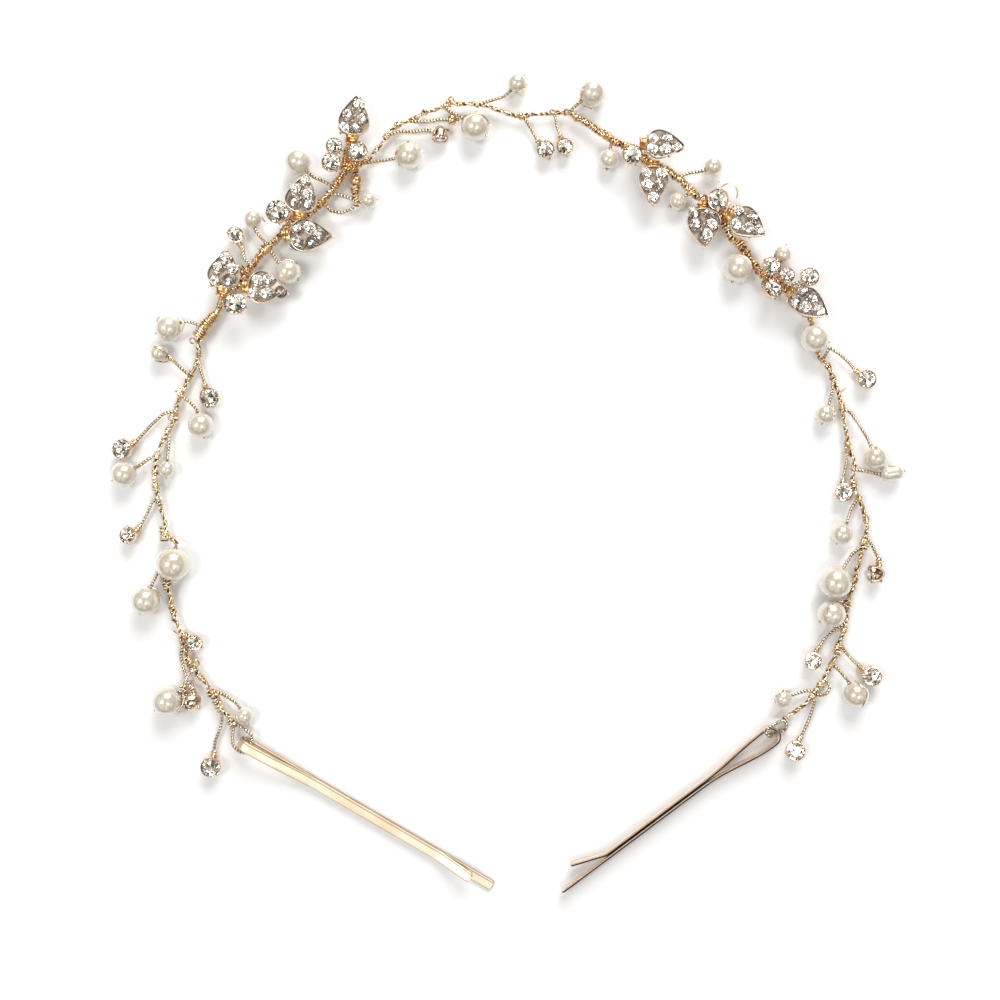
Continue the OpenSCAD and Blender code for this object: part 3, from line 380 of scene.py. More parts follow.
# Twisted ends and loops without a pearl or a stone
BRANCHES = [
    ("left_lower", [(-57.3, -31.8), (-56.9, -33), (-56.7, -33.6)]),
    ("left_stem", [(-28.1, 57.7), (-28.4, 59.7), (-28.4, 61.7)]),
    ("left_stem", [(-32, 52.2), (-30.2, 52.1), (-28.3, 51.5), (-26.8, 50.6, 1.85)]),
    ("left_stem", [(-27, 52.7), (-26.7, 51, 1.8)]),
    ("right_lower", [(57.6, -35.5), (58.6, -36.6), (58.1, -37.9), (56.8, -38.4), (55.9, -38.2)]),
]
# Rows: section, place, diameter, and the way to the bead
METAL_BEADS = [
    ("left_stem", (-27, 54.6), 2.3, [(-28.1, 57.4), (-27.5, 56.2)]),
    ("top", (-9.8, 65.8), 1.9, [(-17.5, 65.5), (-15.5, 65.3), (-13.3, 65.5), (-11.7, 65.8)]),
]


def twist(points, up=UP):
    """A cord of two thin wires: two tubes half a turn apart, turn = 2 pi s / TWIST_PITCH."""
    line = route(points, 0.15, 0.35)
    turn = 2 * pi * travelled(line) / TWIST_PITCH + chance.uniform(0, 2 * pi)
    return [wound(line, TWIST_R, turn + half, TWIST_R, up=up) for half in (0, pi)]


def centre_and_radius(node):
    """Middle of a round CAD node and half its height, in mm."""
    low, high = (np.array(corner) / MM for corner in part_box(node))
    return (low + high) / 2, (high[2] - low[2]) / 2


def level(a, b):
    """Level direction from one point to another."""
    return unit(np.array([b[0] - a[0], b[1] - a[1], 0.0]))


def seen_at(x, y, z):
    """The place, in mm, at height z that the camera sees at a pixel of the picture.

    Higher than SCALE_Z a pixel is narrower, in the share of the distance to the camera.
    """
    share = (CAMERA_HEIGHT - z) / (CAMERA_HEIGHT - SCALE_Z)
    return (PICTURE_MIDDLE[0] + (x - PICTURE_SIZE / 2) * PIXEL * share,
            PICTURE_MIDDLE[1] + (PICTURE_SIZE / 2 - y) * PIXEL * share)


def arc_over(pixels, middle, r):
    """A wire over a pearl: z = middle + sqrt((r + ARC_LIFT)^2 - distance^2) inside its edge.

    Outside it the wire lies 0.2 mm above the middle. Its pixels are read at 0.6 r above the middle.
    """
    line = route([(*seen_at(x, y, middle[2] + 0.6 * r), 0) for x, y in pixels], 0.12, 0.2)
    away = np.linalg.norm(line[:, :2] - middle[:2], axis=1)
    line[:, 2] = middle[2] + np.sqrt(np.clip((r + ARC_LIFT) ** 2 - away ** 2, 0.04, None))
    return tube(line, ARC_R, 8)


for number, (name, way) in PEARL_WAYS.items():
    middle, r = centre_and_radius(f"pearl_{number:02d}")
    ahead = level(way[-1], middle)
    points = rising([*way, tuple(middle[:2])], section_z(name), middle[2])
    points[-1] = middle - (r - CORD_INTO) * ahead
    sprigs[name] += twist(points)
    half = r + (OVAL_EXTRA / 2 if number == OVAL_PEARL else 0)
    through = [middle - half * ahead, middle + (half + WIRE_TAIL) * ahead]
    sprigs[name].append(tube(route(through, 0.3), TWIST_R))
    sprigs[name] += [arc_over(pixels, middle, r) for pixels in PEARL_ARCS.get(number, [])]

for name, way in BRANCHES:
    sprigs[name] += twist(rising(way, section_z(name), section_z(name)))

for name, middle, diameter, way in METAL_BEADS:
    z = section_z(name)
    middle = np.array([*middle, z])
    past = middle + (diameter / 2 + CORD_PAST) * level(way[-1], middle)
    sprigs[name] += twist(np.vstack([rising(way, z, z), past]))

# The single stones' wires
# Each claw cup is crossed by the sprig's wire, which is wound back round the neck in front of it.
# The cups at the ends of sprigs lie low, those among the leaves stand on short wires.

# Rows: place, width of the cup, turn of its face about the wire, section, and the way to it
DROPS = [
    ((-53.2, -51.1), 3.6, 0, "left_lower",
     [(-51.5, -40.6), (-51.3, -42.6), (-51.8, -44.6), (-52.6, -46.4), (-52.9, -48.5)]),
    ((-56.3, -28.7), 2.9, 0, "left_lower", [(-58.8, -27), (-58, -27.4)]),
    ((-67.8, -9.6), 3.1, 20, "left_upper",
     [(-62.9, -2.5), (-64.1, -3.5), (-65, -5.7), (-66.1, -7.5)]),
    ((-68.9, 5.9), 3.6, 15, "left_upper",
     [(-59.8, 13.1), (-61.9, 12.7), (-64.4, 10.4), (-66.6, 8)]),
    ((-54.2, 15.4), 3.5, -28, "left_upper", [(-55.6, 22.5), (-55.15, 20.3), (-54.5, 17.9)]),
    ((-49.1, 44.6), 3, 15, "left_stem", [(-45.8, 39.2), (-47.3, 40.6), (-47.5, 42.4), (-48, 43.1)]),
    ((7.1, 60.2), 3.2, 0, "top", [(3.2, 66.3), (4.5, 64.2), (5.6, 62.3)]),
    ((10.6, 60.7), 3, 0, "top", [(8.8, 67.1), (9.2, 64.7), (9.9, 62.9)]),
    ((65, 18.8), 3.4, 0, "right_upper",
     [(57.3, 22.4), (58.5, 24.6), (60.3, 23.5), (62.1, 21.9), (63.2, 20.6)]),
    ((60.85, -1.6), 3.3, 0, "right_upper", [(61.8, 6.4), (61.5, 3.7), (61.1, 1.2)]),
    ((55.3, -32), 3.1, 0, "right_lower",
     [(61.3, -25.2), (59.4, -26.4), (57.8, -27.8), (56.5, -29.8)]),
    ((65.9, -34.7), 3.6, 0, "right_lower",
     [(60.3, -28.7), (61.4, -30.5), (62.8, -32), (63.7, -32.9)]),
    ((52.1, -48.2), 3.6, 0, "right_lower",
     [(55.4, -38.4), (55.8, -39.7), (54.9, -42.4), (54, -44.6), (53.3, -46.1)]),
    ((-11.9, 63.8), 3.1, 90, "top", [(-21.6, 62.9), (-19.1, 63.6), (-16.9, 63.5), (-14.6, 63.8)]),
    ((-55.9, -39), 3.4, 90, "left_lower",
     [(-58.4, -29), (-58.8, -31.1), (-58.3, -33.2), (-57.8, -35.2), (-57.5, -36.2), (-56.6, -37)]),
    ((67.5, -16.2), 3.4, 90, "right_lower", [(65, -9.2), (66.1, -11.1), (67.2, -13.4)]),
]
CLUSTERS = [
    ((-48.2, 31.9, 3.9), 3.9, 0, "left_stem", [(-51.4, 33.1), (-51.2, 32.8, 3.2), (-50.6, 32.4)]),
    ((-40.6, 48.2, 4), 4.1, 0, "left_stem", [(-39.4, 46.6), (-39.1, 46.7, 3.4), (-39.1, 47)]),
    ((-31.1, 57.1, 3.9), 3.4, 0, "left_stem", [(-29.4, 56.1), (-29.2, 56.4, 3.2), (-29.6, 56.7)]),
    ((-30.6, 60, 4), 2.9, 0, "left_stem", [(-28.3, 59.4), (-28.6, 59.7, 3.2), (-29, 59.8)]),
    ((-26.4, 59, 3.9), 3.5, 0, "left_stem", [(-28.1, 58), (-28.3, 58.3, 3.2), (-28, 58.5)]),
    ((22.45, 58.4, 4), 3.6, 0, "right_stem", [(22, 60.8), (21.7, 60.6, 3.2), (21.6, 60.1)]),
    ((38.45, 50.9, 4.3), 3.8, -32, "right_stem", [(38.6, 49.4), (39.3, 49.2, 3.3), (39.3, 49.4)]),
    ((47.2, 38.6, 4), 3.3, 0, "right_stem", [(45.4, 38.4), (45.4, 38.5, 3.2), (45.6, 38.6)]),
    ((49.9, 37, 4.1), 2.8, 0, "right_stem", [(49.6, 35.4), (49.4, 35.4, 3.2), (49.4, 35.6)]),
    ((54, 36.7, 4), 3.3, 0, "right_stem", [(50.4, 34.8), (51, 35.4, 3.2), (52.4, 36.1)]),
    ((47, 34.2, 4), 3.5, -25, "right_stem", [(47.3, 36.8), (46.2, 36.3, 3.2), (45.9, 35.3)]),
]
# How high a cup's seat starts over the wire, how far the cup goes down below the wire, how much
# deeper its ellipse would go than its flat bottom, and how thick its wall is
CUP_FLOOR, CUP_BELOW, CUP_FLAT, CUP_WALL = 0.75, 0.75, 0.12, 0.2
# A seat's depth below the stone's edge as a share of its radius, and the play round the stone
PAVILION, STONE_GAP = 0.6, 0.06
# Cups higher than this have no winding round the neck. The others' runs from 1.35 mm in front of
# the cup's wall to 0.1 mm inside it.
LOW_CUP = 3
NECK = (1.35, 0.1)
NECK_REACH, NECK_PITCH, NECK_WIRE_R = 0.46, 0.44, 0.18


def girdle_z(width):
    """Height of a stone's widest edge above the wire."""
    return CUP_FLOOR + PAVILION * (width / 2 - CUP_WALL - STONE_GAP) + STONE_GAP


def cup_r(width, z):
    """Radius of a cup at a height: an ellipse about the rim's level that is cut off flat below."""
    girdle = girdle_z(width)
    return width / 2 * np.sqrt(1 - ((girdle - z) / (girdle + CUP_BELOW + CUP_FLAT)) ** 2)


def drop_z(width, turn):
    """Height of the wire at which a turned cup stays 0.1 mm above the table."""
    z = np.linspace(-CUP_BELOW, girdle_z(width), 9)
    return 0.1 + np.max(cup_r(width, z) * abs(sin(radians(turn))) - z * cos(radians(turn)))


drops = [((*place, drop_z(width, turn)), width, turn, name, way)
         for place, width, turn, name, way in DROPS]
cup_rows = {"drop": drops, "cluster": CLUSTERS}

for place, width, _, name, way in drops + CLUSTERS:
    place, ahead, reach = np.array(place), level(way[-1], place), cup_r(width, 0)
    climb = rising([*way, place[:2]], section_z(name), place[2])[:-1]
    sprigs[name] += twist(np.vstack([climb, place, place + (reach + CORD_PAST) * ahead]))
    if place[2] < LOW_CUP:
        neck = route([place - (reach + NECK[0]) * ahead, place - (reach - NECK[1]) * ahead], 0.03)
        s = travelled(neck)
        turn = 2 * pi * s / NECK_PITCH + waves(s, 0.9, 0.8)
        wires[name].append(wound(neck, NECK_REACH, turn, NECK_WIRE_R))

# The bunches and cut ends
# Where the maker joined in new wire it is wound on thickly, cut ends stand out from the spine and
# some turns were left as small open rings. One branch to a leaf is wound all over.

BUNCH_WIRE_R = 0.15
RING_WIRE_R = 0.16
# How far a cut end or an open ring rises over the spine's middle line
CUT_END_RISE, RING_RISE = 0.6, 0.4
# Rows: section, the bunch's middle line in pixels of the picture, its reach at the start and at
# the end, and its turns
BUNCHES = [
    ("left_stem", [(217, 313), (207, 323), (197, 338)], (0.9, 1.4), 13),
    ("left_stem", [(355.5, 163.5), (355.5, 172.5)], (0.5, 0.95), 5),
    ("left_stem", [(355.3, 187), (356, 196), (357, 206)], (1.05, 0.55), 7),
    ("left_upper", [(182, 388), (178.5, 396)], (0.6, 0.95), 4),
    ("left_upper", [(175.5, 413), (175, 420)], (0.55, 0.8), 3),
    ("left_upper", [(157.5, 452), (157, 459)], (0.5, 0.8), 3),
    ("left_upper", [(155, 478), (155, 491)], (0.5, 0.7), 5),
    ("left_upper", [(161, 527), (165, 541)], (0.5, 0.85), 5),
    ("left_lower", [(164, 579), (167, 590)], (0.5, 0.7), 4),
    ("left_lower", [(186, 658), (192, 668)], (0.55, 0.85), 4),
    ("left_lower", [(182.5, 685), (184.5, 696), (183.5, 708)], (0.7, 0.85), 8),
    ("left_lower", [(207, 691), (213, 697), (221, 712)], (0.6, 0.85), 7),
    ("left_lower", [(229, 720), (235, 727)], (0.6, 0.9), 4),
    ("left_stem", [(261, 254), (267, 246)], (0.8, 1.1), 4),
    ("left_stem", [(333, 189), (340, 181)], (0.8, 1.05), 4),
    ("left_stem", [(222, 297), (233, 283), (245, 268)], (0.85, 1.15), 12),
    ("left_stem", [(283, 233), (291, 222), (300, 212)], (0.85, 1.05), 9),
    ("left_stem", [(344, 173), (351, 166), (361, 163)], (0.8, 1), 7),
    ("right_stem", [(603, 132), (610, 138)], (0.75, 1), 4),
    ("right_stem", [(639, 157), (650, 163), (663, 168)], (0.8, 1.05), 10),
    ("right_stem", [(711, 201), (720, 214), (727, 229)], (0.8, 1.05), 11),
    ("right_stem", [(738, 240), (744, 248)], (0.8, 1), 3),
    ("right_stem", [(757, 267), (768, 278), (786, 290), (797, 299)], (0.85, 1.1), 16),
    ("right_upper", [(846, 443), (847.5, 452)], (0.5, 0.8), 4),
    ("right_lower", [(865, 540), (864, 549)], (0.6, 0.85), 3),
    ("right_lower", [(848, 599), (846, 608)], (0.6, 0.85), 3),
    ("right_lower", [(840, 645), (837, 654)], (0.6, 0.85), 3),
    ("right_lower", [(818, 688), (812, 696)], (0.6, 0.9), 4),
]
# Rows: section, and the end's line in pixels
CUT_ENDS = [
    ("left_upper", [(155, 490), (158.5, 488), (161.5, 488.5)]),
    ("left_lower", [(171, 604), (173.5, 599.5)]), ("left_lower", [(174, 614), (178, 610.5)]),
    ("left_lower", [(176, 623), (172.5, 619.5)]), ("left_lower", [(178, 634), (174, 630.5)]),
    ("left_stem", [(265, 222), (262, 218)]),
    ("right_stem", [(722, 191), (719.5, 186.5), (718, 182)]),
    ("right_stem", [(826, 345), (829, 342)]), ("right_upper", [(841, 392), (845, 388)]),
    ("right_lower", [(849, 585), (853, 582)]),
]
# Rows: section, a ring's middle in pixels and its radius
OPEN_RINGS = [
    ("left_stem", 193, 341, 0.45), ("left_upper", 172, 418, 0.5), ("left_lower", 196, 663, 0.65),
    ("right_stem", 728, 194.5, 1.65), ("top", 451, 100.5, 0.45), ("right_lower", 823, 684, 0.5),
]
WOUND_BRANCH = [(-29.3, 56.3, 2), (-29.1, 58.6, 2.1), (-28.6, 60.5, 2.2), (-28, 62, 2.6)]
BRANCH_CORE_R, BRANCH_REACH, BRANCH_PITCH = 0.35, 0.6, 0.4


def bunch(pixels, z, reaches, turns):
    """Wire wound thickly round a line: its lay goes evenly from one reach to the other.

    Over the last 0.15 of the line the lay falls back to 0.75 of the second reach.
    """
    line = route([(*seen_at(x, y, z), z) for x, y in pixels], 0.05)
    u = np.linspace(0, 1, len(line))
    lay = np.interp(u, (0, 0.85, 1), (reaches[0], reaches[1], 0.75 * reaches[1])) - BUNCH_WIRE_R
    lay = lay + waves(u, 0.15, 0.14)
    return wound(line, lay, 2 * pi * turns * u + waves(u, 0.4, 1.2), BUNCH_WIRE_R)


def open_ring(x, y, z, size):
    """Most of a leaning circle: size (cos a, sin a), and size sin a / 2 higher."""
    a = np.linspace(0.2, 1.8 * pi, 18) + chance.uniform(0, 2 * pi)
    circle = size * np.stack([np.cos(a), np.sin(a), 0.5 * np.sin(a)], axis=1)
    return tube(circle + (*seen_at(x, y, z), z + RING_RISE), RING_WIRE_R)


for name, pixels, reaches, turns in BUNCHES:
    windings(name).append(bunch(pixels, section_z(name), reaches, turns))
for name, pixels in CUT_ENDS:
    z = section_z(name)
    end = rising([seen_at(x, y, z) for x, y in pixels], z, z + CUT_END_RISE)
    wires[name].append(tube(route(end, 0.1, 0.1), BUNCH_WIRE_R))
for name, x, y, size in OPEN_RINGS:
    wires[name].append(open_ring(x, y, section_z(name), size))
bound["left_stem"] += [
    tube(route(WOUND_BRANCH, LAY_STEP), BRANCH_CORE_R, 8),
    binding(route(WOUND_BRANCH, WRAP_STEP), BRANCH_REACH, BRANCH_PITCH, THIN_R)]

# The end loops
# At each end the spine's wires are bent into a loop that runs through the eye of a hair pin, and
# are wound back on themselves. The left loop lies level, the right one stands up through its eye.

LEFT_LOOP = [
    (-49.1, -43.6, 1.5), (-49.4, -45.3, 1.6), (-49.3, -47.2, 1.9), (-48.5, -48.1, 1.9),
    (-47.4, -48.8, 1.9), (-45.8, -46, 1.9), (-45.7, -45.4, 1.9), (-46.8, -44.6, 1.8),
    (-48.6, -43.5, 1.5)]
RIGHT_LOOP = [
    (50, -42.8, 1.6), (48.6, -43.2, 2.7), (47.4, -43.7, 3.1), (46.5, -44.4, 3.1),
    (46.9, -45.2, 3.05), (47.7, -45.6, 2.6), (47.7, -45.6, 0.9), (48.3, -45.4, 0.35),
    (49.6, -45, 0.35), (50.7, -44.7, 0.5), (50.9, -43.8, 1), (50.3, -42.9, 1.5)]
# No stretch of the right loop runs along this direction, so its strands' turns start from it
RIGHT_LOOP_UP = (0.35, 0.9, 0.26)

sprigs["left_lower"] += twist(LEFT_LOOP)
sprigs["right_lower"] += twist(RIGHT_LOOP, RIGHT_LOOP_UP)


def linear(hex_colour):
    """Linear colour of an sRGB hex value.

    It is c / 12.92 up to 0.04045, and above that ((c + 0.055) / 1.055) ^ 2.4.
    """
    c = np.array([int(hex_colour[i:i + 2], 16) for i in (1, 3, 5)]) / 255
    return (*np.where(c <= 0.04045, c / 12.92, ((c + 0.055) / 1.055) ** 2.4), 1.0)


def add(tree, kind, values=None, links=None, **settings):
    """Adds a node with its settings, the values of its sockets and the links to them."""
    node = tree.nodes.new(kind)
    for key, value in settings.items():
        setattr(node, key, value)
    for key, value in (values or {}).items():
        node.inputs[key].default_value = value
    for key, socket in (links or {}).items():
        tree.links.new(socket, node.inputs[key])
    return node


def ramp(node, *stops):
    """Sets a colour ramp's stops: place and hex colour."""
    band = node.color_ramp.elements
    while len(band) < len(stops):
        band.new(0.5)
    for element, (place, colour) in zip(band, stops):
        element.position, element.color = place, linear(colour)
    return node


def new_finish(name):
    """An empty material and its node tree."""
    finish = bpy.data.materials.new(name)
    finish.use_nodes = True
    finish.node_tree.nodes.clear()
    return finish, finish.node_tree


# Noise scales to the metre: a cloud of colour every 4 mm, and a bump every 0.45 mm, which is far
# coarser than the plating's own grain, so that it shows
DRIFT = 260.0
GRAIN = 2200.0


def plated(name, bright, warm, painted_shade, rough, grain=0.35, metal=1.0):
    """Plated metal, whose colour drifts between two golds over a few millimetres.

    Where its point attribute is high it is painted darker as painted shade, in the grooves between
    strands, in hollows and on undersides, and it is rougher there. A fine unevenness of the plating
    blurs the shine. Under a coat of lacquer that has gone milky, metal is less than 1.
    """
    finish, tree = new_finish(name)
    place = add(tree, "ShaderNodeTexCoord").outputs["Object"]
    drift = add(tree, "ShaderNodeTexNoise", {"Scale": DRIFT, "Detail": 3.0}, {"Vector": place})
    gold = ramp(add(tree, "ShaderNodeValToRGB", None, {"Fac": drift.outputs["Fac"]}),
                (0.35, bright), (0.68, warm))
    # The painted shade that each point carries, from 0 to 1
    shade_depth = add(tree, "ShaderNodeAttribute", attribute_name="painted_shade")
    share = add(tree, "ShaderNodeMapRange", {"From Min": 0.3, "From Max": 0.85},
                {"Value": shade_depth.outputs["Fac"]})
    colour = add(tree, "ShaderNodeMix", {7: linear(painted_shade)},
                 {0: share.outputs[0], 6: gold.outputs["Color"]}, data_type="RGBA")
    dull = add(tree, "ShaderNodeMapRange",
               {"From Min": 0.2, "From Max": 0.9, "To Min": rough, "To Max": rough + 0.3},
               {"Value": shade_depth.outputs["Fac"]})
    fine = add(tree, "ShaderNodeTexNoise", {"Scale": GRAIN, "Detail": 2.0}, {"Vector": place})
    bump = add(tree, "ShaderNodeBump", {"Strength": grain, "Distance": 0.00004},
               {"Height": fine.outputs["Fac"]})
    shader = add(tree, "ShaderNodeBsdfPrincipled", {"Metallic": metal},
                 {"Base Color": colour.outputs[2], "Roughness": dull.outputs[0],
                  "Normal": bump.outputs[0]})
    add(tree, "ShaderNodeOutputMaterial", None, {"Surface": shader.outputs[0]})
    return finish


def faces_of(rows, around, looped, first):
    """Corner numbers of a grid's faces: (i, j), (i, j+1), (i+1, j+1), (i+1, j), closed round j.

    A grid that isn't looped round i too has its two ends shut with flat caps.
    """
    number = first + np.arange(rows * around).reshape(rows, around)
    ahead = np.roll(number, -1, 0) if looped else number[1:]
    here = number if looped else number[:-1]
    quads = np.stack([here, np.roll(here, -1, 1), np.roll(ahead, -1, 1), ahead], axis=2)
    caps = [] if looped else [number[0, ::-1].tolist(), number[-1].tolist()]
    return quads.reshape(-1, 4).tolist() + caps


def placed(name, data):
    """A new object in the scene, with this mesh, lamp or camera."""
    made = bpy.data.objects.new(name, data)
    bpy.context.scene.collection.objects.link(made)
    return made


def fitted(mesh, body, node):
    """Puts a finished mesh into the scene, on its body and for its CAD node."""
    made = placed(mesh.name, mesh)
    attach(made, body)
    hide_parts(node)


SHARP_ANGLE = 50


def make(name, grids, finish, body, node, looped=False):
    """One object from grids of points in mm, with its faces outwards.

    A fourth number of the points becomes the attribute by which plated metal is painted darker, as
    painted shade.
    """
    faces, first = [], 0
    for grid in grids:
        faces += faces_of(*grid.shape[:2], looped, first)
        first += grid.shape[0] * grid.shape[1]
    points = np.concatenate([grid.reshape(-1, grid.shape[2]) for grid in grids])
    mesh = bpy.data.meshes.new(name)
    mesh.from_pydata((points[:, :3] * MM).tolist(), [], faces)
    if points.shape[1] == 4:
        painted_shade = mesh.attributes.new("painted_shade", "FLOAT", "POINT")
        painted_shade.data.foreach_set("value", points[:, 3].astype(np.float32))
    mesh.materials.append(finish)
    mesh.shade_smooth()
    mesh.set_sharp_from_angle(angle=radians(SHARP_ANGLE))
    fitted(mesh, body, node)


# Champagne-gold plating on copper wire: a pale yellow shine, with brown painted shade where the
# strands meet. The sprigs' thinner wire is plated thinner and looks more silvery, with dark painted
# shade in the notches between its two strands.
champagne_wire = plated("champagne_gold_wire", "#FBE8C8", "#E2BD90", "#775534", 0.2)
silvery_wire = plated("pale_gold_wire", "#EFE5CF", "#D0B38C", "#453523", 0.22)

# The wire bound round the stems is newer and warmer: more orange, and brighter
warm_wire = plated("warm_gold_wire", "#F8D9AC", "#E0AC74", "#71492A", 0.2)

for name in SPINES:
    make(f"strands_{name}", wires[name], champagne_wire, "vine", f"wire_{name}")
    if bound[name]:
        make(f"binding_{name}", bound[name], warm_wire, "vine", f"wire_{name}")
    make(f"sprigs_{name}", sprigs[name], silvery_wire, "vine", f"wire_{name}")

# The pearls
# Glass balls with many thin coats of pearl lacquer, ivory over a warm grey core, drilled through
# for the wire. At the hole's edge the coats sink in a little.

PEARLS = 31
# Radii of the holes for a sprig's wire and for the spine, and how far the coats sink in at them
PEARL_BORE, SPINE_BORE, HOLE_SINK = 0.46, 0.7, 0.12
PEARL_ROWS, PEARL_AROUND = 30, 40
# The two pearls that the spine itself runs through, with the two ends of that stretch
SPINE_PEARLS = {4: ((-60.6, -17.9), (-59.2, -11.2)), 23: ((55, 29.1), (56.2, 23.2))}


def pearl_grid(middle, r, ahead, bore, extra):
    """A drilled ball: rows go over the ball from one hole to the other and back through the hole.

    On the ball, along = -r cos a and out = r sin a, with a from just past the hole's edge, which is
    at asin(bore / r); in the hole, out = bore. An oval one has its halves moved apart by extra.
    """
    edge = np.arcsin(bore / r)
    a = np.linspace(edge * 1.25, pi - edge * 1.25, PEARL_ROWS)
    along = np.concatenate([-r * np.cos(a) + extra / 2 * np.sign(np.round(-np.cos(a), 6)),
                            (r * cos(edge) + extra / 2 - HOLE_SINK) * np.array([1, 0.5, -0.5, -1])])
    out = np.concatenate([r * np.sin(a), np.full(4, bore)])
    v = np.arange(PEARL_AROUND) * 2 * pi / PEARL_AROUND
    left = np.cross(UP, ahead)
    around = np.cos(v)[:, None] * left + np.sin(v)[:, None] * np.cross(ahead, left)
    return middle + along[:, None, None] * ahead + out[:, None, None] * around


# Pearl lacquer over glass: ivory with faint clouds 2.4 mm wide, a little metallic from its pearly
# pigment, painted whiter towards its edge as seen as a painted sheen, and as glossy as its clear
# last coat
pearl_finish, tree = new_finish("lacquered_glass_pearl")
place = add(tree, "ShaderNodeTexCoord").outputs["Object"]
cloud = add(tree, "ShaderNodeTexNoise", {"Scale": 420.0, "Detail": 2.0}, {"Vector": place})
body = ramp(add(tree, "ShaderNodeValToRGB", None, {"Fac": cloud.outputs["Fac"]}),
            (0.3, "#DDD4C2"), (0.75, "#CFC3AC"))
rim = add(tree, "ShaderNodeLayerWeight", {"Blend": 0.4})
painted_sheen = add(tree, "ShaderNodeMix", {7: linear("#F7F3EC")},
           {0: rim.outputs["Facing"], 6: body.outputs["Color"]}, data_type="RGBA")
shader = add(tree, "ShaderNodeBsdfPrincipled",
             {"Roughness": 0.26, "IOR": 1.5, "Metallic": 0.35, "Coat Weight": 0.9,
              "Coat Roughness": 0.06, "Coat IOR": 1.6}, {"Base Color": painted_sheen.outputs[2]})
add(tree, "ShaderNodeOutputMaterial", None, {"Surface": shader.outputs[0]})

for number in range(1, PEARLS + 1):
    middle, r = centre_and_radius(f"pearl_{number:02d}")
    if number in SPINE_PEARLS:
        ahead, bore = level(*SPINE_PEARLS[number]), SPINE_BORE
    else:
        ahead, bore = level(PEARL_WAYS[number][1][-1], middle), PEARL_BORE
    extra = OVAL_EXTRA if number == OVAL_PEARL else 0
    make(f"glass_pearl_{number:02d}", [pearl_grid(middle, r, ahead, bore, extra)], pearl_finish,
         "vine", f"pearl_{number:02d}", looped=True)

# The metal beads
# Two small hollow brass beads, drilled through and threaded on a sprig's wire. They are plated
# a deeper gold than the wire.

bead_grids = []
for name, middle, diameter, way in METAL_BEADS:
    middle = np.array([*middle, section_z(name)])
    bead_grids.append(pearl_grid(middle, diameter / 2, level(way[-1], middle), PEARL_BORE, 0))
# Bright gold plating on polished brass: a sharp shine, brown where it mirrors the dark
bright_brass = plated("plated_brass_bead", "#F4D7A8", "#DDAA70", "#4A2E17", 0.12, 0.15)
make("metal_beads", bead_grids, bright_brass, "vine", "gold_beads", looped=True)

# The leaves
# Cast leaves of a zinc alloy, plated pale gold: a thin raised rim round a bed painted grey as
# shade, in which five cups and small pricked-up prongs hold the stones. A tab at the base is bound
# to the stem.

# Rows: tip, compass angle, width, height of the underside, length, how far the blade is bowed to
# its left, and its stones as pixels of the picture with their width in pixels
LEAVES = [
    ((-49.65, 41.8), 82, 5.9, 3, 7, 0.2,
     [(225.5, 257.5, 11), (218, 267, 10), (232, 268, 10), (215, 280.5, 10), (229, 281, 13)]),
    ((-39.2, 34.6), -3, 5.9, 3, 7, 0.25,
     [(257, 280, 10), (268, 279.5, 11), (253.5, 293, 11), (266, 294, 12), (281, 292, 11)]),
    ((-35.7, 55.25), 79, 5.8, 3, 7, 0.1,
     [(305, 180.5, 9), (296, 189, 11), (308, 194, 11), (293.5, 202, 12), (307.5, 204, 11)]),
    ((-30.8, 44.05), -2, 5.9, 3, 8, 0.15,
     [(297, 228, 11), (309, 227, 11), (319, 236, 13), (297, 243, 13), (312, 242, 12)]),
    ((-26.7, 69.4), 81, 5.6, 3, 7.2, -0.25,
     [(358, 104, 11), (348, 114, 10), (362, 118, 9), (345, 127, 11), (356.5, 128, 10)]),
    ((31.9, 60.1), -2, 5.1, 3.9, 7, 0.25,
     [(653.5, 138, 9), (667, 138, 10), (652, 148.5, 11), (666, 149, 11), (677, 147, 9)]),
    ((26.1, 49.8), -92, 5.4, 3, 7, 0.1,
     [(646.5, 173, 9), (661, 173, 10), (647, 184, 10), (660, 184, 11), (653.5, 197.5, 11)]),
    ((35.5, 41.95), -91, 6.1, 3, 7.3, -0.25,
     [(695, 213, 11), (710.5, 213, 11), (696.5, 223.5, 12), (711.5, 224, 11), (706, 235, 12)]),
    ((46.45, 44.3), -29, 5.5, 3, 7.2, 0.4,
     [(738.5, 211, 10), (752, 216.5, 11), (736, 224.5, 12), (748.5, 229, 12), (759, 229.5, 9)]),
    ((57.7, 29.9), -33, 5.2, 3, 7.3, 0.05,
     [(801.5, 290.5, 12), (813, 298, 12), (794, 301, 12), (805.5, 308, 12), (819, 311, 11)]),
]
# A stone's edge is dark, so it is this much wider than the bright part that the picture shows
STONE_SHOWN = 1.22
# The share of a leaf's length at which its rings close in on a point
LEAF_MIDDLE = 0.42
LEAF_AROUND = 84
SEAT_Z = 1.2
# Two seats nearer than this share a prong
SHARED_PRONG = 3
# Rows of the leaf's section from under its middle over the rim to its bed: share of the outline's
# size, height, and how deep in the shade
LEAF_ROWS = np.array([
    (0.1, 0.02, 0.6), (0.8, 0, 0.5), (0.94, 0.06, 0.3), (0.985, 0.25, 0.1), (1, 0.6, 0),
    (1, 1.2, 0), (0.99, 1.4, 0), (0.972, 1.48, 0), (0.955, 1.46, 0.1), (0.942, 1.3, 0.5),
    (0.938, 1.1, 0.9), (0.93, 0.72, 0.9), (0.88, 0.66, 0.6), (0.1, 0.66, 0.5)])


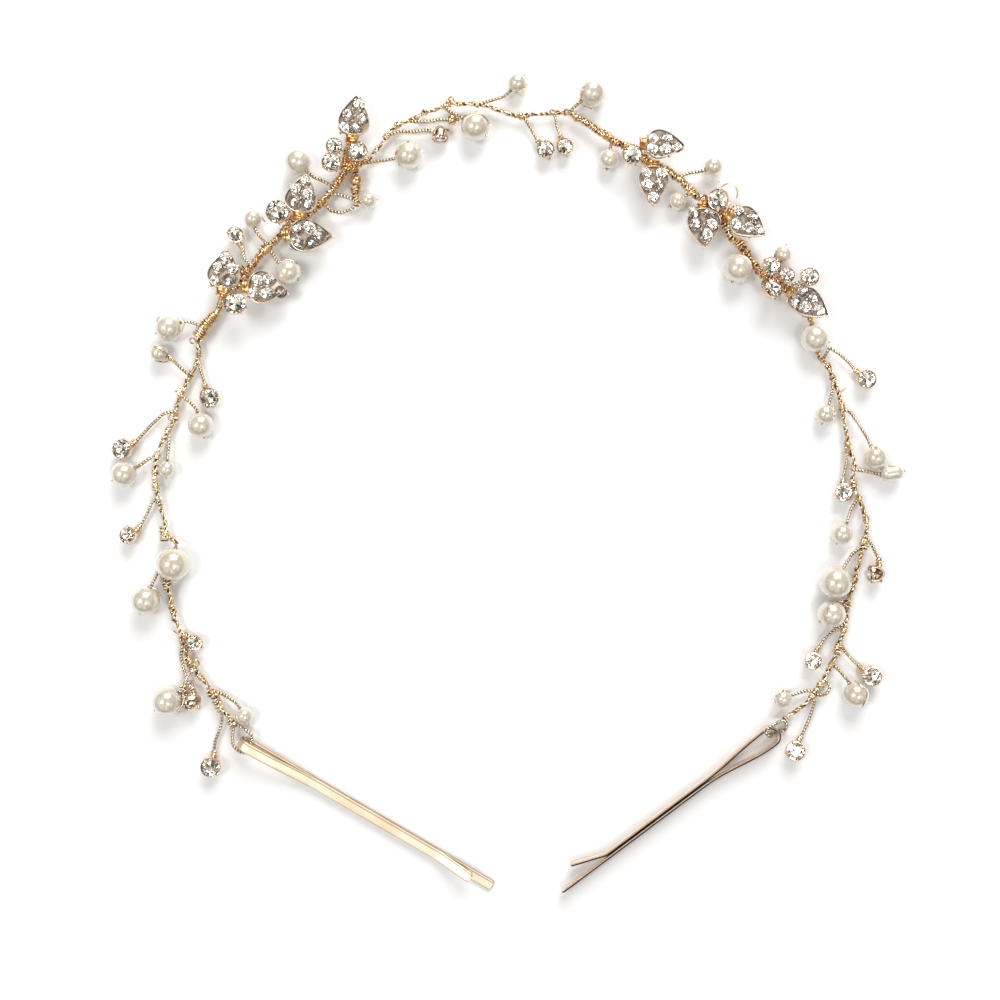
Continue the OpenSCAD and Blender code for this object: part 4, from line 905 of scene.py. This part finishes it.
def leaf_grid(width, length, bow):
    """A leaf's shell: its outline shrunk towards its middle row by row.

    The outline is x = length t, y = width / 2 (sin(pi t^0.62))^0.85 on either side, with
    t = (1 - cos u) / 2, and is bowed by bow (1 - t^4).
    """
    u = np.arange(LEAF_AROUND) * 2 * pi / LEAF_AROUND
    t = (1 - np.cos(u)) / 2
    half = width / 2 * np.clip(np.sin(pi * t ** 0.62), 0, 1) ** 0.85
    half = half * np.sign(np.round(np.sin(u), 6))
    size, z, shade = (LEAF_ROWS[:, k, None] for k in range(3))
    flat = np.ones_like(t)
    x = length * (LEAF_MIDDLE + size * (t - LEAF_MIDDLE))
    y = size * half + bow * (1 - np.clip(x / length, 0, 1) ** 4)
    return np.stack([x, y, z * flat, shade * flat], axis=2)


def lathe(rows, sides):
    """A turned shape about Z: (out cos v, out sin v, z), with out, z and shade from the rows."""
    v = np.arange(sides) * 2 * pi / sides
    out, z, shade = (np.array(rows, float)[:, k, None] for k in range(3))
    flat = np.ones_like(v)
    return np.stack([out * np.cos(v), out * np.sin(v), z * flat, shade * flat], axis=2)


def seated(grid, at, angle=0.0, tilt=0.0):
    """A grid turned about X by tilt, then about Z by angle, in degrees, and moved to a point."""
    a, b = radians(angle), radians(tilt)
    about_x = np.array([(1, 0, 0), (0, cos(b), -sin(b)), (0, sin(b), cos(b))])
    about_z = np.array([(cos(a), -sin(a), 0), (sin(a), cos(a), 0), (0, 0, 1)])
    moved = grid.copy()
    moved[..., :3] = grid[..., :3] @ (about_z @ about_x).T + np.asarray(at, float)
    return moved


def leaf_seats(row):
    """A leaf's stones in its own frame, whose base is at the origin and whose tip is on X.

    Each is its place, at least 0.75 mm from the base, and its radius.
    """
    tip, angle, _, z, length, _, stones = row
    ahead = np.array([cos(radians(angle)), sin(radians(angle))])
    seats = []
    for px, py, across in stones:
        away = np.array(seen_at(px, py, z + SEAT_Z)) - tip
        seats.append((max(0.75, length + away @ ahead), ahead[0] * away[1] - ahead[1] * away[0],
                      STONE_SHOWN * across * PIXEL / 2))
    return np.array(seats)


# A tab is a wire's end beaten wider: how many times at its end and where it meets the blade, and
# the same for the turns that bind it
TAB_FLAT = (2.2, 3)
TAB_TURNS_FLAT = 1.5
TAB_TURN_REACH, TAB_TURN_PITCH = 0.66, 0.42


def leaf_pieces(row):
    """The shell, the cups under the stones, the prongs and the bound tab of one leaf."""
    _, _, width, _, length, bow, _ = row
    seats = leaf_seats(row)
    grids = [leaf_grid(width, length, bow)]
    for x, y, r in seats:
        # The third number of each row is painted shade: darkest in the cup's hollow, lightest at
        # its lip
        cup = lathe([(0.3, 0.6, 1), (r * 0.9, 0.62, 1), (r * 0.97, 0.9, 0.9),
                     (r * 1.0, SEAT_Z - 0.03, 0.4), (r * 0.96, SEAT_Z + 0.03, 0.1),
                     (r * 0.92, SEAT_Z - 0.03, 0.7), (0.25, 0.7, 1)], 24)
        grids.append(seated(cup, (x, y, 0)))
    # A prong is painted darker towards its foot, as shade
    prong = lathe([(0.24, 0.6, 0.7), (0.22, 1.2, 0.3), (0.19, 1.36, 0), (0.09, 1.46, 0)], 8)
    for i, a in enumerate(seats):
        for b in seats[i + 1:]:
            if np.hypot(*(a - b)[:2]) < SHARED_PRONG:
                grids.append(seated(prong, (*(a + b)[:2] / 2, 0)))
        out = a[:2] - seats[:, :2].mean(axis=0)
        grids.append(seated(prong, (*(a[:2] + (a[2] + 0.08) * unit(out)), -0.12)))
    tab = tube(route([(-1.05, bow, 0.38), (-0.4, bow, 0.38), (0.5, bow, 0.5)], 0.15, 0.2), 0.42, 12)
    wider = np.interp(tab[..., 0], (-1, 0.3), TAB_FLAT)
    tab[..., 1] = bow + wider * (tab[..., 1] - bow)
    neck = route([(-1, bow, 0.3), (-0.45, bow, 0.3)], 0.025)
    turns = wound(neck, TAB_TURN_REACH, 2 * pi * travelled(neck) / TAB_TURN_PITCH, THIN_R)
    turns[..., 1] = bow + TAB_TURNS_FLAT * (turns[..., 1] - bow)
    return grids, [tab, turns]


def leaf_place(row):
    """Where a leaf's base lies."""
    tip, angle, _, z, length = row[:5]
    return tip[0] - length * cos(radians(angle)), tip[1] - length * sin(radians(angle)), z


# Pale gold plating under milky lacquer: the blades have gone greyish pink and shine softly. Their
# beds, the undersides of their rims and the hollows of their cups are painted grey-brown as shade.
# The bound tabs are as orange as the stem's wire, with brown painted shade between their turns.
leaf_gold = plated("plated_cast_leaf", "#F6E9DA", "#DCC3AB", "#988C80", 0.26, 0.25, 0.55)
tab_gold = plated("plated_leaf_tab", "#EFC48A", "#D49A5A", "#70431D", 0.26, 0.25)
for number, row in enumerate(LEAVES, 1):
    blade, tab = leaf_pieces(row)
    for kind, grids, finish in (("cast_leaf", blade, leaf_gold), ("leaf_tab", tab, tab_gold)):
        make(f"{kind}_{number:02d}", [seated(grid, leaf_place(row), row[1]) for grid in grids],
             finish, "vine", f"leaf_{number:02d}")

# The claw cups
# Stamped brass cups, plated rose gold: a dome on the wire, whose thin rim holds the stone's
# girdle, and four small claws bent in over the stone.

CLAW_R = 0.16
# Height of a stone's table over its girdle, as a share of its radius
CROWN = 0.2
# A cup's rim takes this much of its radius
RIM_ROOM = 0.17


def stone_r(width):
    """Radius of the stone that fills a cup of this width up to its thin rim."""
    return width / 2 - RIM_ROOM


def claw_cup(width):
    """One setting: the turned cup and its four claws, each a tapering wire bent over the stone."""
    r, top = stone_r(width), girdle_z(width)
    z = np.linspace(-CUP_BELOW, top - 0.05, 12)
    # Painted shade: darker towards the cup's bottom, and darkest in its hollow under the stone
    shade = np.clip(0.5 - 0.25 * (z + CUP_BELOW), 0, None)
    cup = lathe([(0.2, -CUP_BELOW, 0.6), *zip(cup_r(width, z), z, shade), (r + 0.12, top + 0.03, 0),
                 (r + 0.03, top + 0.02, 0.2), (r - 0.02, top - 0.06, 0.8),
                 (r * 0.6, top - 0.5 * r, 1), (0.15, top - 0.55 * r, 1)], 36)
    line = route([(r + 0.14, 0, 0.4 * top), (r + 0.17, 0, top - 0.15),
                  (r + 0.1, 0, top + 0.5 * CROWN * r), (r - 0.15, 0, top + CROWN * r),
                  (r - 0.42, 0, top + 1.25 * CROWN * r)], 0.1, 0.12)
    u = np.linspace(0, 1, len(line))
    thick = np.interp(u, (0, 0.8, 1), (CLAW_R, CLAW_R * 1.05, CLAW_R * 0.7))
    claw = tube(line, thick, 10, (0, 1, 0))
    return [cup] + [seated(claw, (0, 0, 0), quarter) for quarter in (45, 135, 225, 315)]


def bearing(place, way):
    """The compass angle, in degrees, of a wire's last stretch."""
    ahead = level(way[-1], place)
    return np.degrees(np.arctan2(ahead[1], ahead[0]))


# Rose-gold plating on stamped brass: smooth and bright, with brown painted shade low on the cup and
# in its hollow under the stone
rose_cup = plated("plated_claw_cup", "#F5E2CE", "#E0BB9C", "#5A4535", 0.14, 0.12)
for name, rows in cup_rows.items():
    grids = [seated(grid, place, bearing(place, way), turn)
             for place, width, turn, _, way in rows for grid in claw_cup(width)]
    make(f"{name}_claw_cups", grids, rose_cup, "vine", f"{name}_settings")

# The stones
# Pressed crystal glass with a silvered back: a flat table in a ring of small crown facets, and
# behind them a star of eight shallow mirror facets in a ring of twenty-four steeper ones.

# Radius of the table, and of the star behind it, as shares of the stone's
TABLE = 0.55
STAR = 0.55


def stone_corners(r):
    """Corners of a stone, each ring at its share of r and at its height in shares of r.

    They are eight round the table, eight between, sixteen twice at the girdle, eight round the star
    and one at its middle.
    """
    eight = np.arange(8) * pi / 4
    sixteen = np.arange(16) * pi / 8

    def ring(angles, out, z):
        flat = np.full_like(angles, z)
        return np.stack([out * np.cos(angles), out * np.sin(angles), flat], axis=1)

    return r * np.vstack([ring(eight, TABLE, CROWN), ring(eight + pi / 8, 0.8, 0.12),
                          ring(sixteen, 1, 0.02), ring(sixteen, 1, -0.02), ring(eight, STAR, -0.23),
                          [(0, 0, -0.37)]])


def stone_faces():
    """Facets of a stone as corner numbers; the last thirty-two are the silvered ones."""
    t, s, g, low, star, middle = 0, 8, 16, 32, 48, 56
    k = np.arange(8)
    after, before = (k + 1) % 8, (k - 1) % 8
    table = [tuple(k.tolist())]
    stars = np.stack([t + k, s + k, t + after], 1)
    kites = np.stack([t + k, s + before, g + 2 * k, s + k], 1)
    left = np.stack([s + k, g + 2 * k, g + 2 * k + 1], 1)
    right = np.stack([s + k, g + 2 * k + 1, g + (2 * k + 2) % 16], 1)
    j = np.arange(16)
    edge = np.stack([g + j, low + j, low + (j + 1) % 16, g + (j + 1) % 16], 1)
    back_left = np.stack([star + k, low + 2 * k, low + (2 * k - 1) % 16], 1)
    back_right = np.stack([star + k, low + 2 * k + 1, low + 2 * k], 1)
    back_between = np.stack([star + k, star + after, low + 2 * k + 1], 1)
    inner = np.stack([star + after, star + k, np.full(8, middle)], 1)
    parts = (stars, kites, left, right, edge, back_left, back_right, back_between, inner)
    return table + [tuple(f) for part in parts for f in part.tolist()]


# Polished lead glass: clear, and sharp in its reflections
crystal, tree = new_finish("crystal_glass")
shader = add(tree, "ShaderNodeBsdfPrincipled",
             {"Base Color": (1, 1, 1, 1), "Roughness": 0.0, "IOR": 1.5, "Transmission Weight": 1.0})
add(tree, "ShaderNodeOutputMaterial", None, {"Surface": shader.outputs[0]})


def silvered(name, colour, rough):
    """The silver coat on the back of a stone, which throws the light back out of it."""
    finish, tree = new_finish(name)
    shader = add(tree, "ShaderNodeBsdfPrincipled",
                 {"Base Color": linear(colour), "Roughness": rough, "Metallic": 1.0})
    add(tree, "ShaderNodeOutputMaterial", None, {"Surface": shader.outputs[0]})
    return finish


silvering = silvered("silvered_back", "#F5EFE4", 0.07)
# On the leaves' small stones the coat is duller, so their facets blur into one another
dull_silvering = silvered("dull_silvered_back", "#FBF7F0", 0.14)

STONE_FACES = stone_faces()
STONE_CORNERS = 57
SILVERED = 32


def make_stones(name, rows, node, back_finish):
    """One object for a group of stones; each row is the stone's radius, place, angle and tilt."""
    corners = [seated(stone_corners(r), at, angle, tilt) for r, at, angle, tilt in rows]
    faces = [tuple(STONE_CORNERS * i + c for c in face)
             for i in range(len(rows)) for face in STONE_FACES]
    mesh = bpy.data.meshes.new(name)
    mesh.from_pydata((np.vstack(corners) * MM).tolist(), [], faces)
    mesh.materials.append(crystal)
    mesh.materials.append(back_finish)
    back = np.tile(np.arange(len(STONE_FACES)) >= len(STONE_FACES) - SILVERED, len(rows))
    mesh.polygons.foreach_set("material_index", back.astype(np.int32))
    fitted(mesh, "vine", node)


def carried(point, at, angle, tilt=0.0):
    """A single point of a cup or leaf, turned and moved as the cup or leaf is."""
    return seated(np.array([point], float), at, angle, tilt)[0]


for name, rows in cup_rows.items():
    stones = []
    for place, width, turn, _, way in rows:
        angle = bearing(place, way)
        spot = carried((0, 0, girdle_z(width)), place, angle, turn)
        stones.append((stone_r(width), spot, angle, turn))
    make_stones(f"{name}_crystals", stones, f"{name}_stones", silvering)

# A leaf's stone fills this share of its cup, and none was set quite level or square
STONE_IN_CUP = 0.95
for half, rows in (("left", LEAVES[:5]), ("right", LEAVES[5:])):
    stones = []
    for row in rows:
        for x, y, r in leaf_seats(row):
            spot = carried((x, y, SEAT_Z), leaf_place(row), row[1])
            turned = row[1] + chance.uniform(0, 45)
            stones.append((STONE_IN_CUP * r, spot, turned, chance.normal(0, 5)))
    make_stones(f"leaf_{half}_crystals", stones, f"leaf_stones_{half}", dull_silvering)

# The hair pins
# Sprung steel strip, 1.9 by 0.6 mm, with satin gold plating: it is folded round into an eye, and
# the short leg springs in against the long one and flares out at its mouth. The left pin lies flat
# and its long leg is straight, the right one lies on its side.

PIN_THICK = 0.6
PIN_WIDTH = 1.9
EYE_R = 1.9
PIN_GAP = 0.05
# How far from the eye the legs meet, and the shares of the pin's length where the mouth starts and
# ends, which stands this far off there
PIN_PINCH = 15
MOUTH = (0.785, 0.915)
MOUTH_FLARE = 2.3


def pin_line(length, bend):
    """Middle line of a pin: up the long leg, round the eye, and down the short leg.

    Over its first 15 mm each leg goes from its level at the eye to its own in a cosine.
    """
    ring = EYE_R - PIN_THICK / 2
    high, low = bend - ring + PIN_THICK + PIN_GAP, bend - ring
    u = np.linspace(0, 1, 30)
    ease = (1 + np.cos(pi * u)) / 2
    long_leg = np.stack([PIN_PINCH * u, low - bend * ease], 1)[::-1]
    far_x = np.linspace(length - EYE_R, PIN_PINCH, 40, endpoint=False)
    far = np.stack([far_x, np.full_like(far_x, low)], 1)
    a = np.linspace(-pi / 2, -3 * pi / 2, 40)[1:-1]
    eye = ring * np.stack([np.cos(a), np.sin(a)], 1)
    spring = np.stack([PIN_PINCH * u, high + (ring - high) * ease], 1)
    mouth = np.array([(MOUTH[0] * length - EYE_R, high),
                      (MOUTH[1] * length - EYE_R, high + MOUTH_FLARE)])
    flat = np.vstack([far, long_leg, eye, spring, mouth])
    return route(np.column_stack([flat, np.zeros(len(flat))]), 0.15, 0.3)


def pin_strip(length, bend, flat):
    """The strip carried along its line; its section is the superellipse |a/A|^5 + |b/B|^5 = 1.

    Painted shade, for the dark that the edges mirror, is marked with up to 1: on the flat pin the
    sheared edges and a band along one of them, on the other only the edges, most on the sides that
    face -Y. The last 0.5 mm of each leg narrows to 0.55 in a quarter of a circle.
    """
    line = pin_line(length, bend)
    side, top = square_to(line, UP)
    quarter = np.radians([0, 6, 10, 14, 22, 40, 65, 80, 90])
    v = np.concatenate([quarter, pi - quarter[-2::-1], pi + quarter[1:], 2 * pi - quarter[-2:0:-1]])
    across = PIN_THICK / 2 * np.sign(np.cos(v)) * np.abs(np.cos(v)) ** 0.4
    along = PIN_WIDTH / 2 * np.sign(np.sin(v)) * np.abs(np.sin(v)) ** 0.4
    s = travelled(line)
    end = np.clip(np.minimum(s, s[-1] - s) / 0.5, 0, 1)
    shrink = (0.55 + 0.45 * np.sqrt(1 - (1 - end) ** 2))[:, None, None]
    section = across[:, None] * side[:, None] + along[:, None] * top[:, None]
    skin = line[:, None] + shrink * section
    band = np.interp(np.degrees(np.arcsin(np.sin(v))), (-90, -65, -40, -22, -14, -10, 65, 90),
                     (1, 0.45, 0.4, 0.5, 0.8, 0, 0, 0.8))
    edge = np.interp(np.abs(along), (0.58 * PIN_WIDTH / 2, 0.8 * PIN_WIDTH / 2), (0, 1))
    # Painted shade for the dark that the edges mirror, most on the sides that face -Y
    painted_dark_edge = np.where(flat, band, edge * np.clip(0.72 - 1.7 * np.cos(v) * side[:, 1:2], 0, 1))
    return np.concatenate([skin, np.broadcast_to(painted_dark_edge, skin.shape[:2])[..., None]], axis=2)


# Satin gold plating: it blurs what it mirrors. Its edges are painted brown, on the side pin nearly
# black, as painted shade for the dark that they mirror
flat_pin = plated("satin_gold_strip", "#FBF0DA", "#F4E0BE", "#74502C", 0.46, 0.1)
side_pin = plated("satin_rose_strip", "#F9E6D3", "#EDCDB1", "#170B05", 0.26, 0.1)
# Rows: side, length, bend of the long leg, whether the pin lies flat, middle of its eye, compass
# angle, turn about its length, and finish
PINS = [
    ("left", 53, 0, True, (-46.6, -47.4, EYE_R), -30.2, 90, flat_pin),
    ("right", 48.8, 1.7, False, (47.7, -45.6, 0.75 + PIN_WIDTH / 2), 216.8, 180, side_pin),
]
for hand, length, bend, flat, eye, angle, tilt, finish in PINS:
    make(f"hair_pin_{hand}", [seated(pin_strip(length, bend, flat), eye, angle, tilt)], finish,
         f"{hand}_pin", f"pin_{hand}")

# The table top, the light and the camera
# A white sheet on a table, lit so that it is white all over: a wide soft lamp beyond the crown of
# the arch, two smaller ones nearer overhead, and a studio round them that is bright halfway up and
# darker above and low down. The camera is straight above the middle of the picture.

SHEET = 1.5
SENSOR_WIDTH = 36
STUDIO_LIGHT = 1.3

floor_mesh = bpy.data.meshes.new("white_sheet")
floor_mesh.from_pydata([(x * SHEET, y * SHEET, 0) for x, y in ((-1, -1), (1, -1), (1, 1), (-1, 1))],
                       [], [(0, 1, 2, 3)])
# Matt paper, as good as white
paper, tree = new_finish("white_paper")
shader = add(tree, "ShaderNodeBsdfPrincipled", {"Base Color": linear("#F1F1F1"), "Roughness": 0.9})
add(tree, "ShaderNodeOutputMaterial", None, {"Surface": shader.outputs[0]})
floor_mesh.materials.append(paper)
placed("white_sheet", floor_mesh)

# The studio is bright and dark in bands by height, times soft patches for its panels and the gaps
# between them
world = bpy.data.worlds.new("studio")
world.use_nodes = True
tree = world.node_tree
tree.nodes.clear()
way = add(tree, "ShaderNodeTexCoord").outputs["Generated"]
up_share = add(tree, "ShaderNodeSeparateXYZ", None, {"Vector": way}).outputs["Z"]
height = ramp(add(tree, "ShaderNodeValToRGB", None, {"Fac": up_share}),
              (0.0, "#6A6866"), (0.2, "#3C3A38"), (0.45, "#D8D6D4"), (0.75, "#FFFFFF"),
              (0.92, "#CFCDCA"), (1.0, "#9A9794"))
patches = add(tree, "ShaderNodeTexNoise", {"Scale": 2.6, "Detail": 0.0}, {"Vector": way})
panels = ramp(add(tree, "ShaderNodeValToRGB", None, {"Fac": patches.outputs["Fac"]}),
              (0.42, "#5E5C5A"), (0.56, "#FFFFFF"))
sky = add(tree, "ShaderNodeMix", {0: 1.0}, {6: height.outputs["Color"], 7: panels.outputs["Color"]},
          data_type="RGBA", blend_type="MULTIPLY")
back = add(tree, "ShaderNodeBackground", {"Strength": STUDIO_LIGHT}, {"Color": sky.outputs[2]})
add(tree, "ShaderNodeOutputWorld", None, {"Surface": back.outputs[0]})
bpy.context.scene.world = world


def lamp(name, place, size, power):
    """A square soft lamp, in metres and watts, that faces the middle of the table."""
    light = bpy.data.lights.new(name, "AREA")
    light.size, light.energy = size, power
    made = placed(name, light)
    made.location = place
    towards = -np.array(place)
    made.rotation_euler = (np.arctan2(np.hypot(*towards[:2]), -towards[2]), 0,
                           np.arctan2(towards[1], towards[0]) - pi / 2)


lamp("crown_lamp", (0.13, 0.64, 0.45), 0.5, 5.6)
lamp("left_lamp", (-0.4, 0.0, 0.72), 0.22, 1.8)
lamp("low_lamp", (0.22, -0.25, 0.74), 0.18, 1.0)

view_camera = bpy.data.cameras.new("camera")
view_camera.sensor_width = SENSOR_WIDTH
view_camera.lens = SENSOR_WIDTH * (CAMERA_HEIGHT - SCALE_Z) / (PICTURE_SIZE * PIXEL)
camera = placed("camera", view_camera)
camera.location = (PICTURE_MIDDLE[0] * MM, PICTURE_MIDDLE[1] * MM, CAMERA_HEIGHT * MM)
bpy.context.scene.camera = camera
bpy.context.scene.view_settings.view_transform = "Standard"
